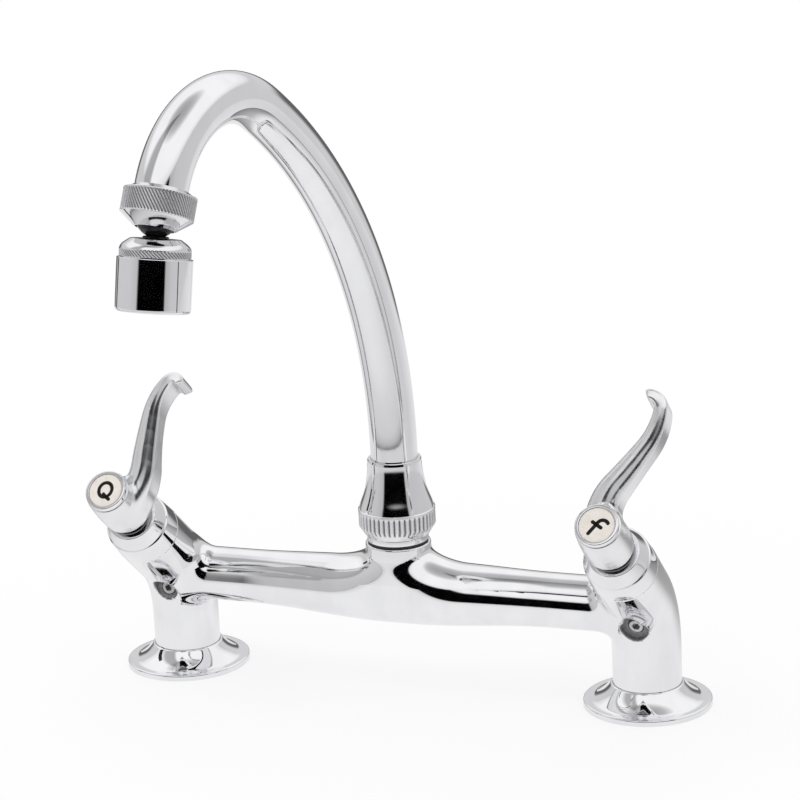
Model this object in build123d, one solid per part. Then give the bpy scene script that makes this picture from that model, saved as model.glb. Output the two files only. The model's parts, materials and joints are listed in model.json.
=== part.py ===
from build123d import *
from math import cos, pi, radians, sin, sqrt, tan
import os

# Two handle bridge mixer for a kitchen sink, in millimetres.
# Origin: midway between the two inlets at counter level. X runs along the bridge, -Y is the
# front, where the spout reaches over the sink, and +Z is up.

# ---- driving dimensions -------------------------------------------------------------------

fit_clearance = 0.05          # radial gap between turned parts that move on each other
slip_clearance = 0.1          # radial gap between parts that are pushed together and stay
free_gap = 0.5                # room around a part that must not touch
film = 0.02                   # grease between the lapped ceramic discs

# legs and elbows
inlet_centres = 203.0
leg_radius = 13.9
valve_height = 41.0           # where the leg's axis meets the valve's axis
valve_tilt = 49.6             # degrees from vertical, towards the front
elbow_radius = 37.0           # of the leg's centreline
inlet_thread_radius = 9.3155  # minor radius of the G 1/2 thread
inlet_thread_length = 14.0
leg_waterway_radius = 6.0
leg_waterway_top = 28.0
elbow_waterway_radius = 5.0
elbow_waterway_back = 2.0     # behind the leg's axis
elbow_waterway_top = 40.0
valve_face = 41.4             # mouth of the valve body, along the valve axis

# bridge
bridge_forward = 7.1          # the arms and the hub lie this far in front of the legs
arm_height = 42.2
arm_radius = 10.3
arm_root_radius = 9.2         # inside the elbow
arm_root_length = 10.0
arm_fillet = 6.0              # where the arms meet the elbows
arm_middle_radius = 13.6
flare_start = 66.0            # distance from the hub where the arm begins to swell
flare_middle = 38.0
flare_middle_radius = 11.75
arm_bore_radius = 4.5
hub_radius = 13.35
hub_top = 63.5
hub_blend = 9.0               # concave blend from the hub into the arms
hub_bore_radius = 6.0
hub_thread_radius = 9.5
hub_thread_depth = 11.0

# drilled pocket and plug at the front of each elbow
pocket_along = 9.0            # place of the pocket's floor along the valve axis
pocket_below = 12.1           # and below that axis
pocket_radius = 4.8
left_pocket_lean = 36.0       # degrees that the drilling opens away from the valve axis
right_pocket_radius = 5.4
right_pocket_lean = 60.0
channel_radius = 3.3          # the right pocket runs out into a channel
channel_lean = 22.0
pocket_length = 30.0
plug_radius = 3.1
plug_length = 5.0
plug_drilling = 11.5
plug_edge = 0.4
plug_key_width = 3.0
plug_key_depth = 2.2

# base flange and its gasket
flange_radius = 26.0
flange_rim = 2.4
flange_height = 9.2
flange_valley_radius = 21.2
flange_valley_height = 3.1
flange_wall = 1.6
flange_lip = 0.9              # width of the flange's top around the leg
flange_ledge = 2.0            # flat outer ledge
flange_rim_edge = 0.6
flange_crown = 2.6            # thickness over the hollow
gasket_thickness = 1.2
gasket_overlap = 3.2          # width of the gasket's outer band under the flange

# valve chamber and cartridge, along the valve axis from valve_height
chamber_radius = 9.0
chamber_floor = 18.0
port_radius = 3.2             # way from the elbow into the chamber
port_offset = 0.5
mixed_way_radius = 2.0        # drilling from the chamber back to the arm
mixed_way_inward = 6.6
mixed_way_down = 3.7
seal_thickness = 2.5
seal_width = 2.2
disc_thickness = 3.0
disc_radius = 7.5
disc_port_inner = 1.8
disc_port_outer = 5.6
disc_port_angle = 70.0
window_height = 4.0
hex_flats = 19.0
hex_height = 4.6
mouth_seal_radius = 10.9
mouth_seal_thickness = 1.0
neck_radius = 6.5
neck_top = 59.0
spindle_radius = 4.1
spindle_plate = 3.2
spindle_top = 70.0
o_ring_thickness = 1.1
spindle_ring_along = 51.0

# skirt under the handle
skirt_radius = 13.8
skirt_shoulder = 50.8
skirt_shoulder_radius = 13.3
skirt_bevel = 0.7             # across the shoulder's soft edge
skirt_nose = 57.6
skirt_nose_radius = 10.2
skirt_neck_radius = 8.8
skirt_top = 59.3
skirt_wall = 1.2
skirt_land = 4.0              # length that bears on the cartridge neck

# handle
hub_back = 60.3
hub_neck_radius = 8.6
hub_neck_top = 62.4
hub_back_radius = 9.6
hub_back_bevel = 0.8
hub_waist = 70.0
hub_waist_radius = 9.7
hub_front = 82.5
hub_front_radius = 8.9
handle_web = 2.0
handle_counterbore = 6.5
screw_radius = 1.6
screw_head_radius = 4.0
screw_head_height = 3.0
screw_reach = 8.0             # into the spindle
left_handle_turn = 48.2       # degrees that the left handle stands further round than the right

lever_start = 3.0             # from the valve axis
lever_offset = 2.34
lever_heading = -4.0
lever_root = (17.04, 48.0)    # length of each stretch of the lever, and degrees that it turns
lever_shank = (17.04, -5.0)
lever_shoulder = (14.2, -35.0)
lever_hook = (8.52, -114.0)
lever_rise = (67.3, 82.9, 91.9)      # along the valve axis at the root, middle and tip
lever_width = (15.1, 8.9, 11.9)      # parallel to the valve axis
lever_thickness = (13.0, 9.0, 3.6)   # in the plane that the lever turns in
lever_sections = 13
lever_corner = 0.42           # corner radius as a share of the thinner side

# index cap and disc
cap_radius = 8.45
cap_edge = 0.9
cap_height = 2.25
cap_plug_length = 6.0
cap_plug_wall = 1.0
index_radius = 6.9
index_thickness = 0.8
index_recess = 0.35

# spout seat in the hub
nipple_radius = 12.5
nipple_collar = 3.5
nipple_bore_radius = 7.7
nipple_spigot_radius = 11.6
nipple_spigot = 9.0
slip_ring_thickness = 0.6
tailpiece_collar = 3.0
tailpiece_length = 15.0
tailpiece_bore_radius = 5.4
tailpiece_spigot = 8.0
retaining_ring_thickness = 2.0
retaining_ring_radius = 11.3
retaining_ring_gap = 40.0     # degrees
seat_ring_spacing = 6.0
seat_ring_drop = 4.0

# spout nut
nut_foot_radius = 13.0
nut_band_radius = 15.6
nut_band_start = 3.9          # above the nut's foot
nut_band_height = 6.3
nut_flute_count = 44
nut_flute_depth = 0.45
nut_flute_runout = 1.5        # the flutes run out on the chamfer below
nut_bead_radius = 15.75
nut_bead_height = 0.6
nut_shoulder_radius = 15.3
nut_bell = ((15.6, 12.9), (21.1, 11.45))  # height above the foot and radius down the bell
nut_lip_radius = 10.95
nut_height = 31.9

# gooseneck
spout_radius = 9.525          # 3/4 inch tube
spout_wall = 1.0
spout_straight = 101.3        # height where the first arc begins
spout_rise_radius = 184.0
spout_rise_angle = 56.0
spout_crook_radius = 42.15
spout_crook_angle = 100.3
spout_swivel = 10.5           # degrees that the spout stands swung towards the left handle

# ball joint, along the outlet axis from the end of the tube
adapter_spigot = 4.0
adapter_spigot_play = 0.25      # the tube is already bent there
adapter_shoulder = 1.5
adapter_shoulder_radius = 12.2
adapter_thread_radius = 11.4
adapter_bore_radius = 6.0
outlet_nut_radius = 13.0
outlet_nut_band = 8.5
outlet_nut_edge = 0.3
outlet_nut_teeth = 40
outlet_nut_depth = 0.35
outlet_nut_lean = 9.0         # degrees that each groove winds round, up and down from its middle
outlet_nut_cone = 4.3
outlet_nut_lip = 0.3
ball_radius = 7.8
ball_centre = 9.5
ball_washer_top = 6.6
ball_washer_thickness = 1.4
swivel_back = 11.75           # degrees that the aerator hangs off the outlet axis, towards plumb
swivel_aside = 0.67           # and sideways

# stem and aerator, along the aerator's own axis from the ball's centre
stem_radius = 3.0
stem_ring_start = 6.4
stem_ring_radius = 4.65
stem_ring_height = 1.6
stem_thread_radius = 3.6
stem_thread_length = 4.0
stem_bore_radius = 2.0
collar_radius = 9.0
collar_flare_radius = 12.6
collar_flare = 4.0
collar_band = 2.4
collar_thread_radius = 11.8
collar_thread_length = 5.0
collar_wall = 2.5
shell_radius = 13.3
shell_length = 18.8
shell_gap = 0.2
shell_wall = 1.3
shell_top_edge = 0.5
shell_mouth_radius = 10.0
shell_mouth = 1.6
shell_edge = 1.6
aerator_washer_thickness = 1.5
screen_thickness = 0.6
insert_length = 7.0
insert_rim = 1.4
insert_wall = 0.8
insert_drop = 1.0             # the grid lies this far inside the rim
insert_rings = (3.6, 6.6, 9.4)
insert_spokes = 12

# ---- derived places -----------------------------------------------------------------------

inlet_x = inlet_centres / 2
tilt = radians(valve_tilt)
seal_top = chamber_floor + seal_thickness
disc_joint = seal_top + disc_thickness
disc_top = disc_joint + film + disc_thickness
nipple_top = hub_top + nipple_collar
spigot_top = nipple_top + nipple_spigot
collar_seat = spigot_top + slip_ring_thickness
tube_foot = collar_seat + tailpiece_collar
spout_bore_radius = spout_radius - spout_wall


# ---- frames and helpers -------------------------------------------------------------------

def valve_plane(side):
    """Plane across the valve axis where it meets the leg's axis; its normal is the valve axis."""
    return Plane(origin=(side * inlet_x, 0, valve_height), x_dir=(1, 0, 0),
                 z_dir=(0, -sin(tilt), cos(tilt)))


def spout_plane():
    """Upright plane of the gooseneck: x runs outwards from the hub and y is up."""
    swing = radians(spout_swivel)
    return Plane(origin=(0, -bridge_forward, 0), x_dir=(-sin(swing), -cos(swing), 0),
                 z_dir=(-cos(swing), sin(swing), 0))


def spout_end():
    """Place of the tube's end and the angle of its axis below horizontal, in the spout plane."""
    rise = radians(spout_rise_angle)
    total = radians(spout_rise_angle + spout_crook_angle)
    reach = spout_rise_radius * (1 - cos(rise)) + spout_crook_radius * (cos(rise) - cos(total))
    height = spout_straight + spout_rise_radius * sin(rise)
    height += spout_crook_radius * (sin(total) - sin(rise))
    return reach, height, total


def outlet_plane():
    """Plane across the tube's end; its normal runs out of the spout."""
    reach, height, total = spout_end()
    frame = spout_plane()
    origin = frame.from_local_coords(Vector(reach, height, 0))
    along = frame.x_dir * sin(total) + frame.y_dir * cos(total)
    return Plane(origin=origin, x_dir=frame.z_dir, z_dir=along)


def aerator_plane():
    """Plane through the ball's centre; its normal is the aerator's axis."""
    frame = outlet_plane()
    centre = frame.origin + frame.z_dir * ball_centre
    hang = frame.z_dir.rotate(Axis((0, 0, 0), tuple(frame.x_dir)), -swivel_back)
    hang = hang.rotate(Axis((0, 0, 0), tuple(frame.y_dir)), -swivel_aside)
    return Plane(origin=centre, x_dir=frame.x_dir, z_dir=hang)


def ring(inner, outer, low, high):
    """Turned ring between two heights on the Z axis."""
    return Pos(0, 0, low) * extrude(Circle(outer) - Circle(inner), high - low)


def rod(radius, low, high):
    """Turned rod between two heights on the Z axis."""
    return Pos(0, 0, low) * extrude(Circle(radius), high - low)


def turned(*edges):
    """Solid of revolution about Z from the edges of a closed profile drawn in the XZ plane."""
    return revolve(make_face(Plane.XZ * Wire(list(edges))), Axis.Z)


def turned_points(*points):
    """Solid of revolution about Z from the corners of its profile, as (radius, height)."""
    return revolve(make_face(Plane.XZ * Polyline(*points, close=True)), Axis.Z)


def o_ring(centre_radius, height):
    """Round-section ring about the Z axis."""
    return Pos(0, 0, height) * Torus(centre_radius, o_ring_thickness / 2)


def groove(centre_radius, height):
    """Groove for an O-ring, a little wider than the ring's section."""
    half = o_ring_thickness / 2 + slip_clearance
    return ring(centre_radius - half, centre_radius + 2 * half, height - half, height + half)


def knurl(radius, depth, low, high, count, lean):
    """Cutters for a ring of slanted grooves round the Z axis."""
    width = pi * radius / count
    cutter = loft([Pos(0, 0, low) * Rot(0, 0, -lean) * Pos(radius, 0, 0) * Rot(0, 0, 45)
                   * Rectangle(width, width),
                   Pos(0, 0, high) * Rot(0, 0, lean) * Pos(radius, 0, 0) * Rot(0, 0, 45)
                   * Rectangle(width, width)], ruled=True)
    shift = width / sqrt(2) - depth
    cutter = Pos(shift, 0, 0) * cutter
    return [Rot(0, 0, 360 * step / count) * cutter for step in range(count)]


def write(shape, name):
    export_step(shape, f"parts/{name}.step")


# ---- bridge -------------------------------------------------------------------------------

def leg_path(side):
    """Centreline of one leg: up, round the elbow and out to the valve's mouth."""
    tangent = elbow_radius * tan(tilt / 2)
    plane = Plane(origin=(side * inlet_x, 0, 0), x_dir=(0, -1, 0), z_dir=(-1, 0, 0))
    rise = Line((0, 0), (0, valve_height - tangent))
    bend = JernArc(rise @ 1, (0, 1), elbow_radius, -valve_tilt)
    mouth = bend @ 1 + (bend % 1) * (valve_face - tangent)
    return plane * Wire([rise, bend, Line(bend @ 1, mouth)])


def arm_profile():
    """Turned outline of both arms: slim at the elbows and swelling towards the hub."""
    half = [(inlet_x, arm_root_radius), (inlet_x - arm_root_length, arm_radius),
            (flare_start, arm_radius)]
    swell = Spline([(flare_start, arm_radius), (flare_middle, flare_middle_radius),
                    (0, arm_middle_radius)], tangents=[(-1, 0), (-1, 0)])
    root = Spline([half[0], half[1]], tangents=[(-1, 0.25), (-1, 0)])
    edges = [Line((inlet_x, 0), half[0]), root, Line(half[1], half[2]), swell]
    right = Wire(edges)
    left = right.mirror(Plane.YZ)
    return make_face(right.edges() + left.edges() + [Line((-inlet_x, 0), (inlet_x, 0))])


def hub_outside():
    """Upright neck whose width along the bridge flares into the arms."""
    blend_start = arm_height + arm_middle_radius
    levels = 7
    sections = []
    for level in range(levels):
        height = arm_height + (hub_top - arm_height) * level / (levels - 1)
        rise = min(max(blend_start + hub_blend - height, 0), hub_blend * 0.995)
        flare = hub_blend - sqrt(hub_blend ** 2 - rise ** 2)
        sections.append(Pos(0, -bridge_forward, height) * Ellipse(hub_radius + flare, hub_radius))
    return loft(sections)


def pocket_place(side, lean):
    """Frame on the floor of a drilling at the pocket; its normal points out of the drilling."""
    frame = valve_plane(side)
    axis = frame.z_dir
    below = -frame.y_dir
    lean = radians(lean)
    return Plane(origin=frame.origin + axis * pocket_along + below * pocket_below,
                 x_dir=(1, 0, 0), z_dir=axis * cos(lean) + below * sin(lean))


def plug_place(side):
    """Frame of the plug: both pockets are drilled at their own lean."""
    return pocket_place(side, left_pocket_lean if side < 0 else right_pocket_lean)


def pocket_cut(side):
    """Teardrop pocket on the left; round pocket with a channel above it on the right."""
    drilling = plug_place(side) * rod(plug_radius, -plug_drilling, 0)
    if side < 0:
        return drilling + plug_place(side) * rod(pocket_radius, 0, pocket_length)
    channel = pocket_place(side, channel_lean) * rod(channel_radius, 0, pocket_length)
    return drilling + plug_place(side) * rod(right_pocket_radius, 0, pocket_length) + channel


def bridge_waterways(side):
    """All that is bored out of one half of the casting, as one solid."""
    frame = valve_plane(side)
    leg = Pos(side * inlet_x, 0, 0)
    inlet = leg * (rod(inlet_thread_radius, 0, inlet_thread_length)
                   + rod(leg_waterway_radius, 0, leg_waterway_top))
    elbow = leg * Pos(0, elbow_waterway_back, 0)
    elbow *= rod(elbow_waterway_radius, leg_waterway_top - 1, elbow_waterway_top)
    port = frame * Pos(0, port_offset, 0) * rod(port_radius, -port_radius, chamber_floor)
    chamber = frame * rod(chamber_radius, chamber_floor, valve_face)
    mouth = frame * rod(mouth_seal_radius, valve_face - mouth_seal_thickness, valve_face)
    arm_end = inlet_x - leg_waterway_radius - 1
    arm = Pos(0, -bridge_forward, arm_height) * Rot(0, 90, 0) * rod(arm_bore_radius, 0, arm_end)
    if side < 0:
        arm = arm.mirror(Plane.YZ)
    mixed = frame * Pos(-side * mixed_way_inward, -mixed_way_down, 0)
    mixed *= rod(mixed_way_radius, arm_bore_radius, chamber_floor + 1)
    return inlet + elbow + port + chamber + mouth + arm + mixed + pocket_cut(side)


def on_arm(edge):
    """True for an edge that lies on an arm where it meets an elbow."""
    points = [edge @ share for share in (0.1, 0.5, 0.9)]
    spread = max(p.X for p in points) - min(p.X for p in points)
    near = all(abs(sqrt((p.Y + bridge_forward) ** 2 + (p.Z - arm_height) ** 2) - arm_radius) < 0.1
               for p in points)
    return near and spread > 0.1 and abs(points[1].X) > flare_start


def make_bridge_body():
    body = Pos(0, -bridge_forward, arm_height) * revolve(arm_profile(), Axis.X)
    for side in (-1, 1):
        path = leg_path(side)
        section = Plane(origin=path @ 0, z_dir=path % 0) * Circle(leg_radius)
        body += sweep(section, path)
    body = fillet(body.edges().filter_by(on_arm), arm_fillet)
    body += hub_outside()
    spout_seat = Pos(0, -bridge_forward, 0)
    bored = spout_seat * (rod(hub_bore_radius, arm_height, hub_top)
                          + rod(hub_thread_radius, hub_top - hub_thread_depth, hub_top))
    return body - (bored + bridge_waterways(-1) + bridge_waterways(1))


def make_waterway_plug(side):
    plug = rod(plug_radius, -plug_length, 0)
    plug = chamfer(plug.edges().group_by(Axis.Z)[-1], plug_edge)
    key = extrude(RegularPolygon(plug_key_width / 2, 6, major_radius=False), plug_key_depth)
    return plug_place(side) * (plug - Pos(0, 0, -plug_key_depth) * key)


# ---- base ---------------------------------------------------------------------------------

def make_base_flange():
    """Moulded flange: a flat rim, a hollow valley and a dome that rises to the leg."""
    hole = leg_radius + slip_clearance
    dome_top = hole + flange_lip
    ledge_end = flange_radius - flange_ledge
    rim = Line((flange_radius, 0), (flange_radius, flange_rim - flange_rim_edge))
    edge = Line(rim @ 1, (flange_radius - flange_rim_edge, flange_rim))
    form = Spline([(ledge_end, flange_rim), (flange_valley_radius, flange_valley_height),
                   (dome_top, flange_height)], tangents=[(-1, 0), (-0.5, 0.85)])
    top = Line((dome_top, flange_height), (hole, flange_height))
    body = turned(Line((hole, 0), rim @ 0), rim, edge, Line(edge @ 1, form @ 0), form, top,
                  Line(top @ 1, (hole, 0)))
    recess = ring(hole - 1, flange_radius - flange_wall, 0, gasket_thickness)
    ceiling = flange_height - flange_crown
    hollow = turned_points((hole - 1, 0), (flange_valley_radius - flange_wall, 0),
                           (dome_top + flange_wall, ceiling), (hole - 1, ceiling))
    return body - recess - hollow


def make_base_gasket():
    outer = flange_radius - flange_wall - slip_clearance
    return ring(outer - gasket_overlap * 2, outer, 0, gasket_thickness)


# ---- valve, drawn on the Z axis and set on the valve plane ---------------------------------

def make_seat_seal():
    outer = disc_radius - slip_clearance
    seal = ring(outer - seal_width, outer, chamber_floor, seal_top)
    return fillet(seal.edges(), seal_width / 5)


def disc_ports(low, high):
    """Two opposite ports through a ceramic disc, as sectors of a ring."""
    sector = make_face(Wire([
        Line((disc_port_inner, 0), (disc_port_outer, 0)),
        JernArc((disc_port_outer, 0), (0, 1), disc_port_outer, disc_port_angle),
        Line(polar(disc_port_outer), polar(disc_port_inner)),
        CenterArc((0, 0), disc_port_inner, 0, disc_port_angle)]))
    port = Pos(0, 0, low) * extrude(sector, high - low)
    return [Rot(0, 0, turn - disc_port_angle / 2) * port for turn in (90, 270)]


def polar(radius):
    """Corner of a disc port at its far side."""
    return (radius * cos(radians(disc_port_angle)), radius * sin(radians(disc_port_angle)))


def make_disc(low, turn):
    disc = rod(disc_radius, low, low + disc_thickness)
    for port in disc_ports(low, low + disc_thickness):
        disc -= Rot(0, 0, turn) * port
    return disc


def make_cartridge_body():
    outer = chamber_radius - slip_clearance
    sleeve = rod(outer, chamber_floor + seal_thickness / 2, valve_face)
    nut = Pos(0, 0, valve_face) * extrude(
        RegularPolygon(hex_flats / 2, 6, major_radius=False), hex_height)
    nut = nut & turned_points((0, valve_face), (hex_flats * 0.6, valve_face),
                              (hex_flats * 0.6, valve_face + hex_height - 1),
                              (hex_flats / 2 - 0.6, valve_face + hex_height),
                              (0, valve_face + hex_height))
    body = sleeve + nut + rod(neck_radius, valve_face + hex_height, neck_top)
    body -= rod(disc_radius + slip_clearance, chamber_floor, disc_top + spindle_plate + 0.4)
    body -= rod(spindle_radius + fit_clearance, chamber_floor, neck_top)
    window = Box(4 * chamber_radius, disc_radius, window_height)
    body -= Pos(0, 0, disc_top + 0.5 - window_height / 2) * window
    return body


def make_spindle():
    plate = rod(disc_radius - slip_clearance, disc_top, disc_top + spindle_plate)
    stem = rod(spindle_radius, disc_top, spindle_top)
    spindle = plate + stem - groove(spindle_ring_radius(), spindle_ring_along)
    spindle -= rod(screw_radius, spindle_top - screw_reach - 1, spindle_top)
    return spindle


def spindle_ring_radius():
    """Centre radius of the spindle's O-ring, which just reaches the bore of the neck."""
    return spindle_radius - o_ring_thickness / 2


def make_spindle_o_ring():
    return o_ring(spindle_ring_radius(), spindle_ring_along)


def make_cartridge_seal():
    inner = chamber_radius
    return ring(inner, mouth_seal_radius - slip_clearance, valve_face - mouth_seal_thickness,
                valve_face)


def make_skirt():
    """Thin trim shell: a barrel, a soft shoulder, a cone and a neck that backs the handle."""
    bore = neck_radius + slip_clearance
    barrel = Line((skirt_radius, valve_face), (skirt_shoulder_radius, skirt_shoulder))
    bevel = Line(barrel @ 1, (skirt_shoulder_radius - skirt_bevel, skirt_shoulder + skirt_bevel))
    nose = Spline([bevel @ 1, (skirt_nose_radius, skirt_nose)], tangents=[(-0.42, 1), (-0.5, 1)])
    ledge = Polyline(nose @ 1, (skirt_neck_radius, skirt_nose), (skirt_neck_radius, skirt_top),
                     (bore, skirt_top), (bore, skirt_top - skirt_land),
                     (skirt_nose_radius - 2 * skirt_wall, skirt_nose - 2 * skirt_wall),
                     (skirt_shoulder_radius - skirt_wall, skirt_shoulder - skirt_wall),
                     (skirt_radius - skirt_wall, valve_face), (skirt_radius, valve_face))
    return turned(barrel, bevel, nose, *ledge.edges())


def blend_three(values, share):
    """Smooth value through three given ones at the start, middle and end."""
    start, middle, end = values
    return (start * (1 - share) * (1 - 2 * share) + 4 * middle * share * (1 - share)
            + end * share * (2 * share - 1))


def between_three(values, share):
    """Straight-line value between three given ones at the start, middle and end."""
    start, middle, end = values
    if share < 0.5:
        return start + (middle - start) * share * 2
    return middle + (end - middle) * (share * 2 - 1)


def lever_station(distance):
    """Point and heading of the lever's centreline in the plane that it turns in."""
    heading = radians(lever_heading)
    point = Vector(-lever_offset, lever_start)
    for length, turn in (lever_root, lever_shank, lever_shoulder, lever_hook):
        step = min(distance, length)
        radius = length / radians(turn)
        after = heading + step / radius
        point += Vector(cos(heading) - cos(after), sin(after) - sin(heading)) * radius
        heading = after
        distance -= step
        if distance <= 0:
            break
    return point, heading


def lever_arm():
    """Lofted arm of the lever, from inside its hub to the hooked tip."""
    total = sum(stretch[0] for stretch in (lever_root, lever_shank, lever_shoulder, lever_hook))
    sections = []
    for index in range(lever_sections):
        share = index / (lever_sections - 1)
        point, heading = lever_station(total * share)
        thick = between_three(lever_thickness, share)
        wide = between_three(lever_width, share)
        normal = Vector(cos(heading), -sin(heading), 0)
        plane = Plane(origin=(point.X, point.Y, blend_three(lever_rise, share)),
                      x_dir=normal, z_dir=(sin(heading), cos(heading), 0))
        outline = RectangleRounded(thick, wide, lever_corner * min(thick, wide))
        sections.append(plane * outline)
    return loft(sections)


def make_lever(side):
    """Handle for the right valve, mirrored and turned for the left one."""
    neck = Polyline((0, hub_back), (hub_neck_radius, hub_back), (hub_neck_radius, hub_neck_top),
                    (hub_back_radius, hub_neck_top + hub_back_bevel),
                    (hub_waist_radius, hub_waist))
    barrel = Spline([neck @ 1, (hub_front_radius, hub_front)], tangents=[(0, 1), (-0.12, 1)])
    hub = turned(*neck.edges(), barrel, Line(barrel @ 1, (0, hub_front)),
                 Line((0, hub_front), (0, hub_back)))
    lever = hub + lever_arm()
    lever -= rod(spindle_radius + slip_clearance, neck_top, spindle_top)
    lever -= rod(screw_radius + slip_clearance, hub_back, hub_front)
    lever -= rod(handle_counterbore, spindle_top + handle_web, hub_front + 20)
    if side < 0:
        lever = Rot(0, 0, -left_handle_turn) * lever.mirror(Plane.YZ)
    return lever


def make_handle_screw():
    seat = spindle_top + handle_web
    head = rod(screw_head_radius, seat, seat + screw_head_height)
    head = fillet(head.edges().group_by(Axis.Z)[-1], 0.8)
    shank = rod(screw_radius - fit_clearance, seat - handle_web - screw_reach, seat)
    key = Pos(0, 0, seat + 1) * extrude(RegularPolygon(2, 6, major_radius=False),
                                        screw_head_height)
    return head + shank - key


def make_index_cap():
    base = hub_front
    plug_outer = handle_counterbore - slip_clearance
    rim_top = base + cap_height
    body = turned_points((0, base), (cap_radius, base), (cap_radius, rim_top - cap_edge),
                         (cap_radius - cap_edge, rim_top), (0, rim_top))
    body += ring(plug_outer - cap_plug_wall, plug_outer, base - cap_plug_length, base)
    body -= rod(index_radius + slip_clearance, rim_top - index_recess - index_thickness, rim_top)
    return body


def make_index_disc():
    top = hub_front + cap_height - index_recess
    return rod(index_radius, top - index_thickness, top)


# ---- spout seat, drawn on the Z axis and set over the hub ----------------------------------

def make_hub_nipple():
    body = rod(hub_thread_radius - slip_clearance, hub_top - hub_thread_depth, hub_top)
    body += rod(nipple_radius, hub_top, nipple_top)
    body += rod(nipple_spigot_radius, nipple_top, spigot_top)
    body -= rod(nipple_bore_radius, hub_top - hub_thread_depth, spigot_top)
    return body


def make_spout_slip_ring():
    return ring(nipple_bore_radius, nipple_spigot_radius - slip_clearance, spigot_top,
                collar_seat)


def seat_ring_heights():
    """Heights of the two O-rings on the tailpiece."""
    upper = spigot_top - seat_ring_drop
    return (upper, upper - seat_ring_spacing)


def make_spout_tailpiece():
    body = rod(nipple_bore_radius - fit_clearance, collar_seat - tailpiece_length, collar_seat)
    body += rod(retaining_ring_radius, collar_seat, tube_foot)
    body += rod(spout_bore_radius - slip_clearance, tube_foot, tube_foot + tailpiece_spigot)
    body -= rod(tailpiece_bore_radius, collar_seat - tailpiece_length,
                tube_foot + tailpiece_spigot)
    for height in seat_ring_heights():
        body -= groove(nipple_bore_radius - o_ring_thickness / 2, height)
    return body


def make_spout_o_rings():
    centre = nipple_bore_radius - o_ring_thickness / 2 - fit_clearance
    return Compound([o_ring(centre, height) for height in seat_ring_heights()])


def make_spout_retaining_ring():
    top = tube_foot + retaining_ring_thickness
    body = ring(spout_radius + slip_clearance, retaining_ring_radius, tube_foot, top)
    half = radians(retaining_ring_gap / 2)
    far = 2 * retaining_ring_radius
    wedge = make_face(Polyline((0, 0), (far * cos(half), far * sin(half)),
                               (far * cos(half), -far * sin(half)), close=True))
    return body - Pos(0, 0, tube_foot) * extrude(wedge, retaining_ring_thickness)


def make_spout_nut():
    """Fluted band under a bell that draws in to the tube."""
    foot = nipple_top
    band = foot + nut_band_start
    band_top = band + nut_band_height
    bead_top = band_top + nut_bead_height
    lip = foot + nut_height
    bell = [(radius, foot + height) for height, radius in nut_bell]
    outline = [
        Line((nut_foot_radius, foot), (nut_band_radius, band)),
        Line((nut_band_radius, band), (nut_band_radius, band_top)),
        Line((nut_band_radius, band_top), (nut_bead_radius, band_top)),
        Line((nut_bead_radius, band_top), (nut_bead_radius, bead_top)),
        Line((nut_bead_radius, bead_top), (nut_shoulder_radius, bead_top)),
        Spline([(nut_shoulder_radius, bead_top), *bell, (nut_lip_radius, lip)],
               tangents=[(-0.35, 1), (0, 1)]),
        Line((nut_lip_radius, lip), (0, lip)),
        Line((0, lip), (0, foot)),
        Line((0, foot), (nut_foot_radius, foot))]
    body = turned(*outline)
    for cutter in knurl(nut_band_radius, nut_flute_depth, band - nut_flute_runout, band_top,
                        nut_flute_count, 0):
        body -= cutter
    shoulder = tube_foot + retaining_ring_thickness
    body -= rod(nipple_spigot_radius + slip_clearance, foot, shoulder)
    body -= rod(spout_radius + fit_clearance, foot, lip)
    return body


def spout_path():
    """Centreline of the gooseneck in its own plane: upright, a long arc, then the crook."""
    rise = Line((0, tube_foot), (0, spout_straight))
    sweep_out = JernArc(rise @ 1, (0, 1), spout_rise_radius, -spout_rise_angle)
    crook = JernArc(sweep_out @ 1, sweep_out % 1, spout_crook_radius, -spout_crook_angle)
    return spout_plane() * Wire([rise, sweep_out, crook])


def make_spout_tube():
    path = spout_path()
    section = Plane(origin=path @ 0, z_dir=path % 0) * (Circle(spout_radius)
                                                        - Circle(spout_bore_radius))
    return sweep(section, path)


# ---- outlet, drawn on the Z axis and set on the outlet or aerator plane ---------------------

def make_outlet_adapter():
    body = rod(spout_bore_radius - adapter_spigot_play, -adapter_spigot, 0)
    body += turned_points((0, 0), (spout_radius, 0), (adapter_shoulder_radius, adapter_shoulder),
                          (adapter_thread_radius, adapter_shoulder),
                          (adapter_thread_radius, ball_washer_top), (0, ball_washer_top))
    body -= rod(adapter_bore_radius, -adapter_spigot, ball_washer_top)
    return body - Pos(0, 0, ball_centre) * Sphere(ball_radius + free_gap)


def make_ball_seat_washer():
    body = rod(adapter_thread_radius - slip_clearance, ball_washer_top,
               ball_washer_top + ball_washer_thickness)
    return body - Pos(0, 0, ball_centre) * Sphere(ball_radius + fit_clearance)


def make_outlet_nut():
    """Knurled nut with a conical underside that carries the ball."""
    low = adapter_shoulder
    band_end = low + outlet_nut_band
    mouth = band_end + outlet_nut_cone
    seat = ball_radius + fit_clearance
    lip_radius = sqrt(seat ** 2 - (mouth - ball_centre) ** 2) + outlet_nut_lip
    edge = outlet_nut_edge
    body = turned_points((0, low), (outlet_nut_radius - edge, low),
                         (outlet_nut_radius, low + edge), (outlet_nut_radius, band_end - edge),
                         (outlet_nut_radius - edge, band_end), (lip_radius, mouth), (0, mouth))
    for cutter in knurl(outlet_nut_radius, outlet_nut_depth, low, band_end, outlet_nut_teeth,
                        -outlet_nut_lean):
        body -= cutter
    body -= rod(adapter_thread_radius + slip_clearance, low,
                ball_washer_top + ball_washer_thickness)
    body -= rod(seat, low, ball_centre)
    body -= Pos(0, 0, ball_centre) * Sphere(seat)
    return body


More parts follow.
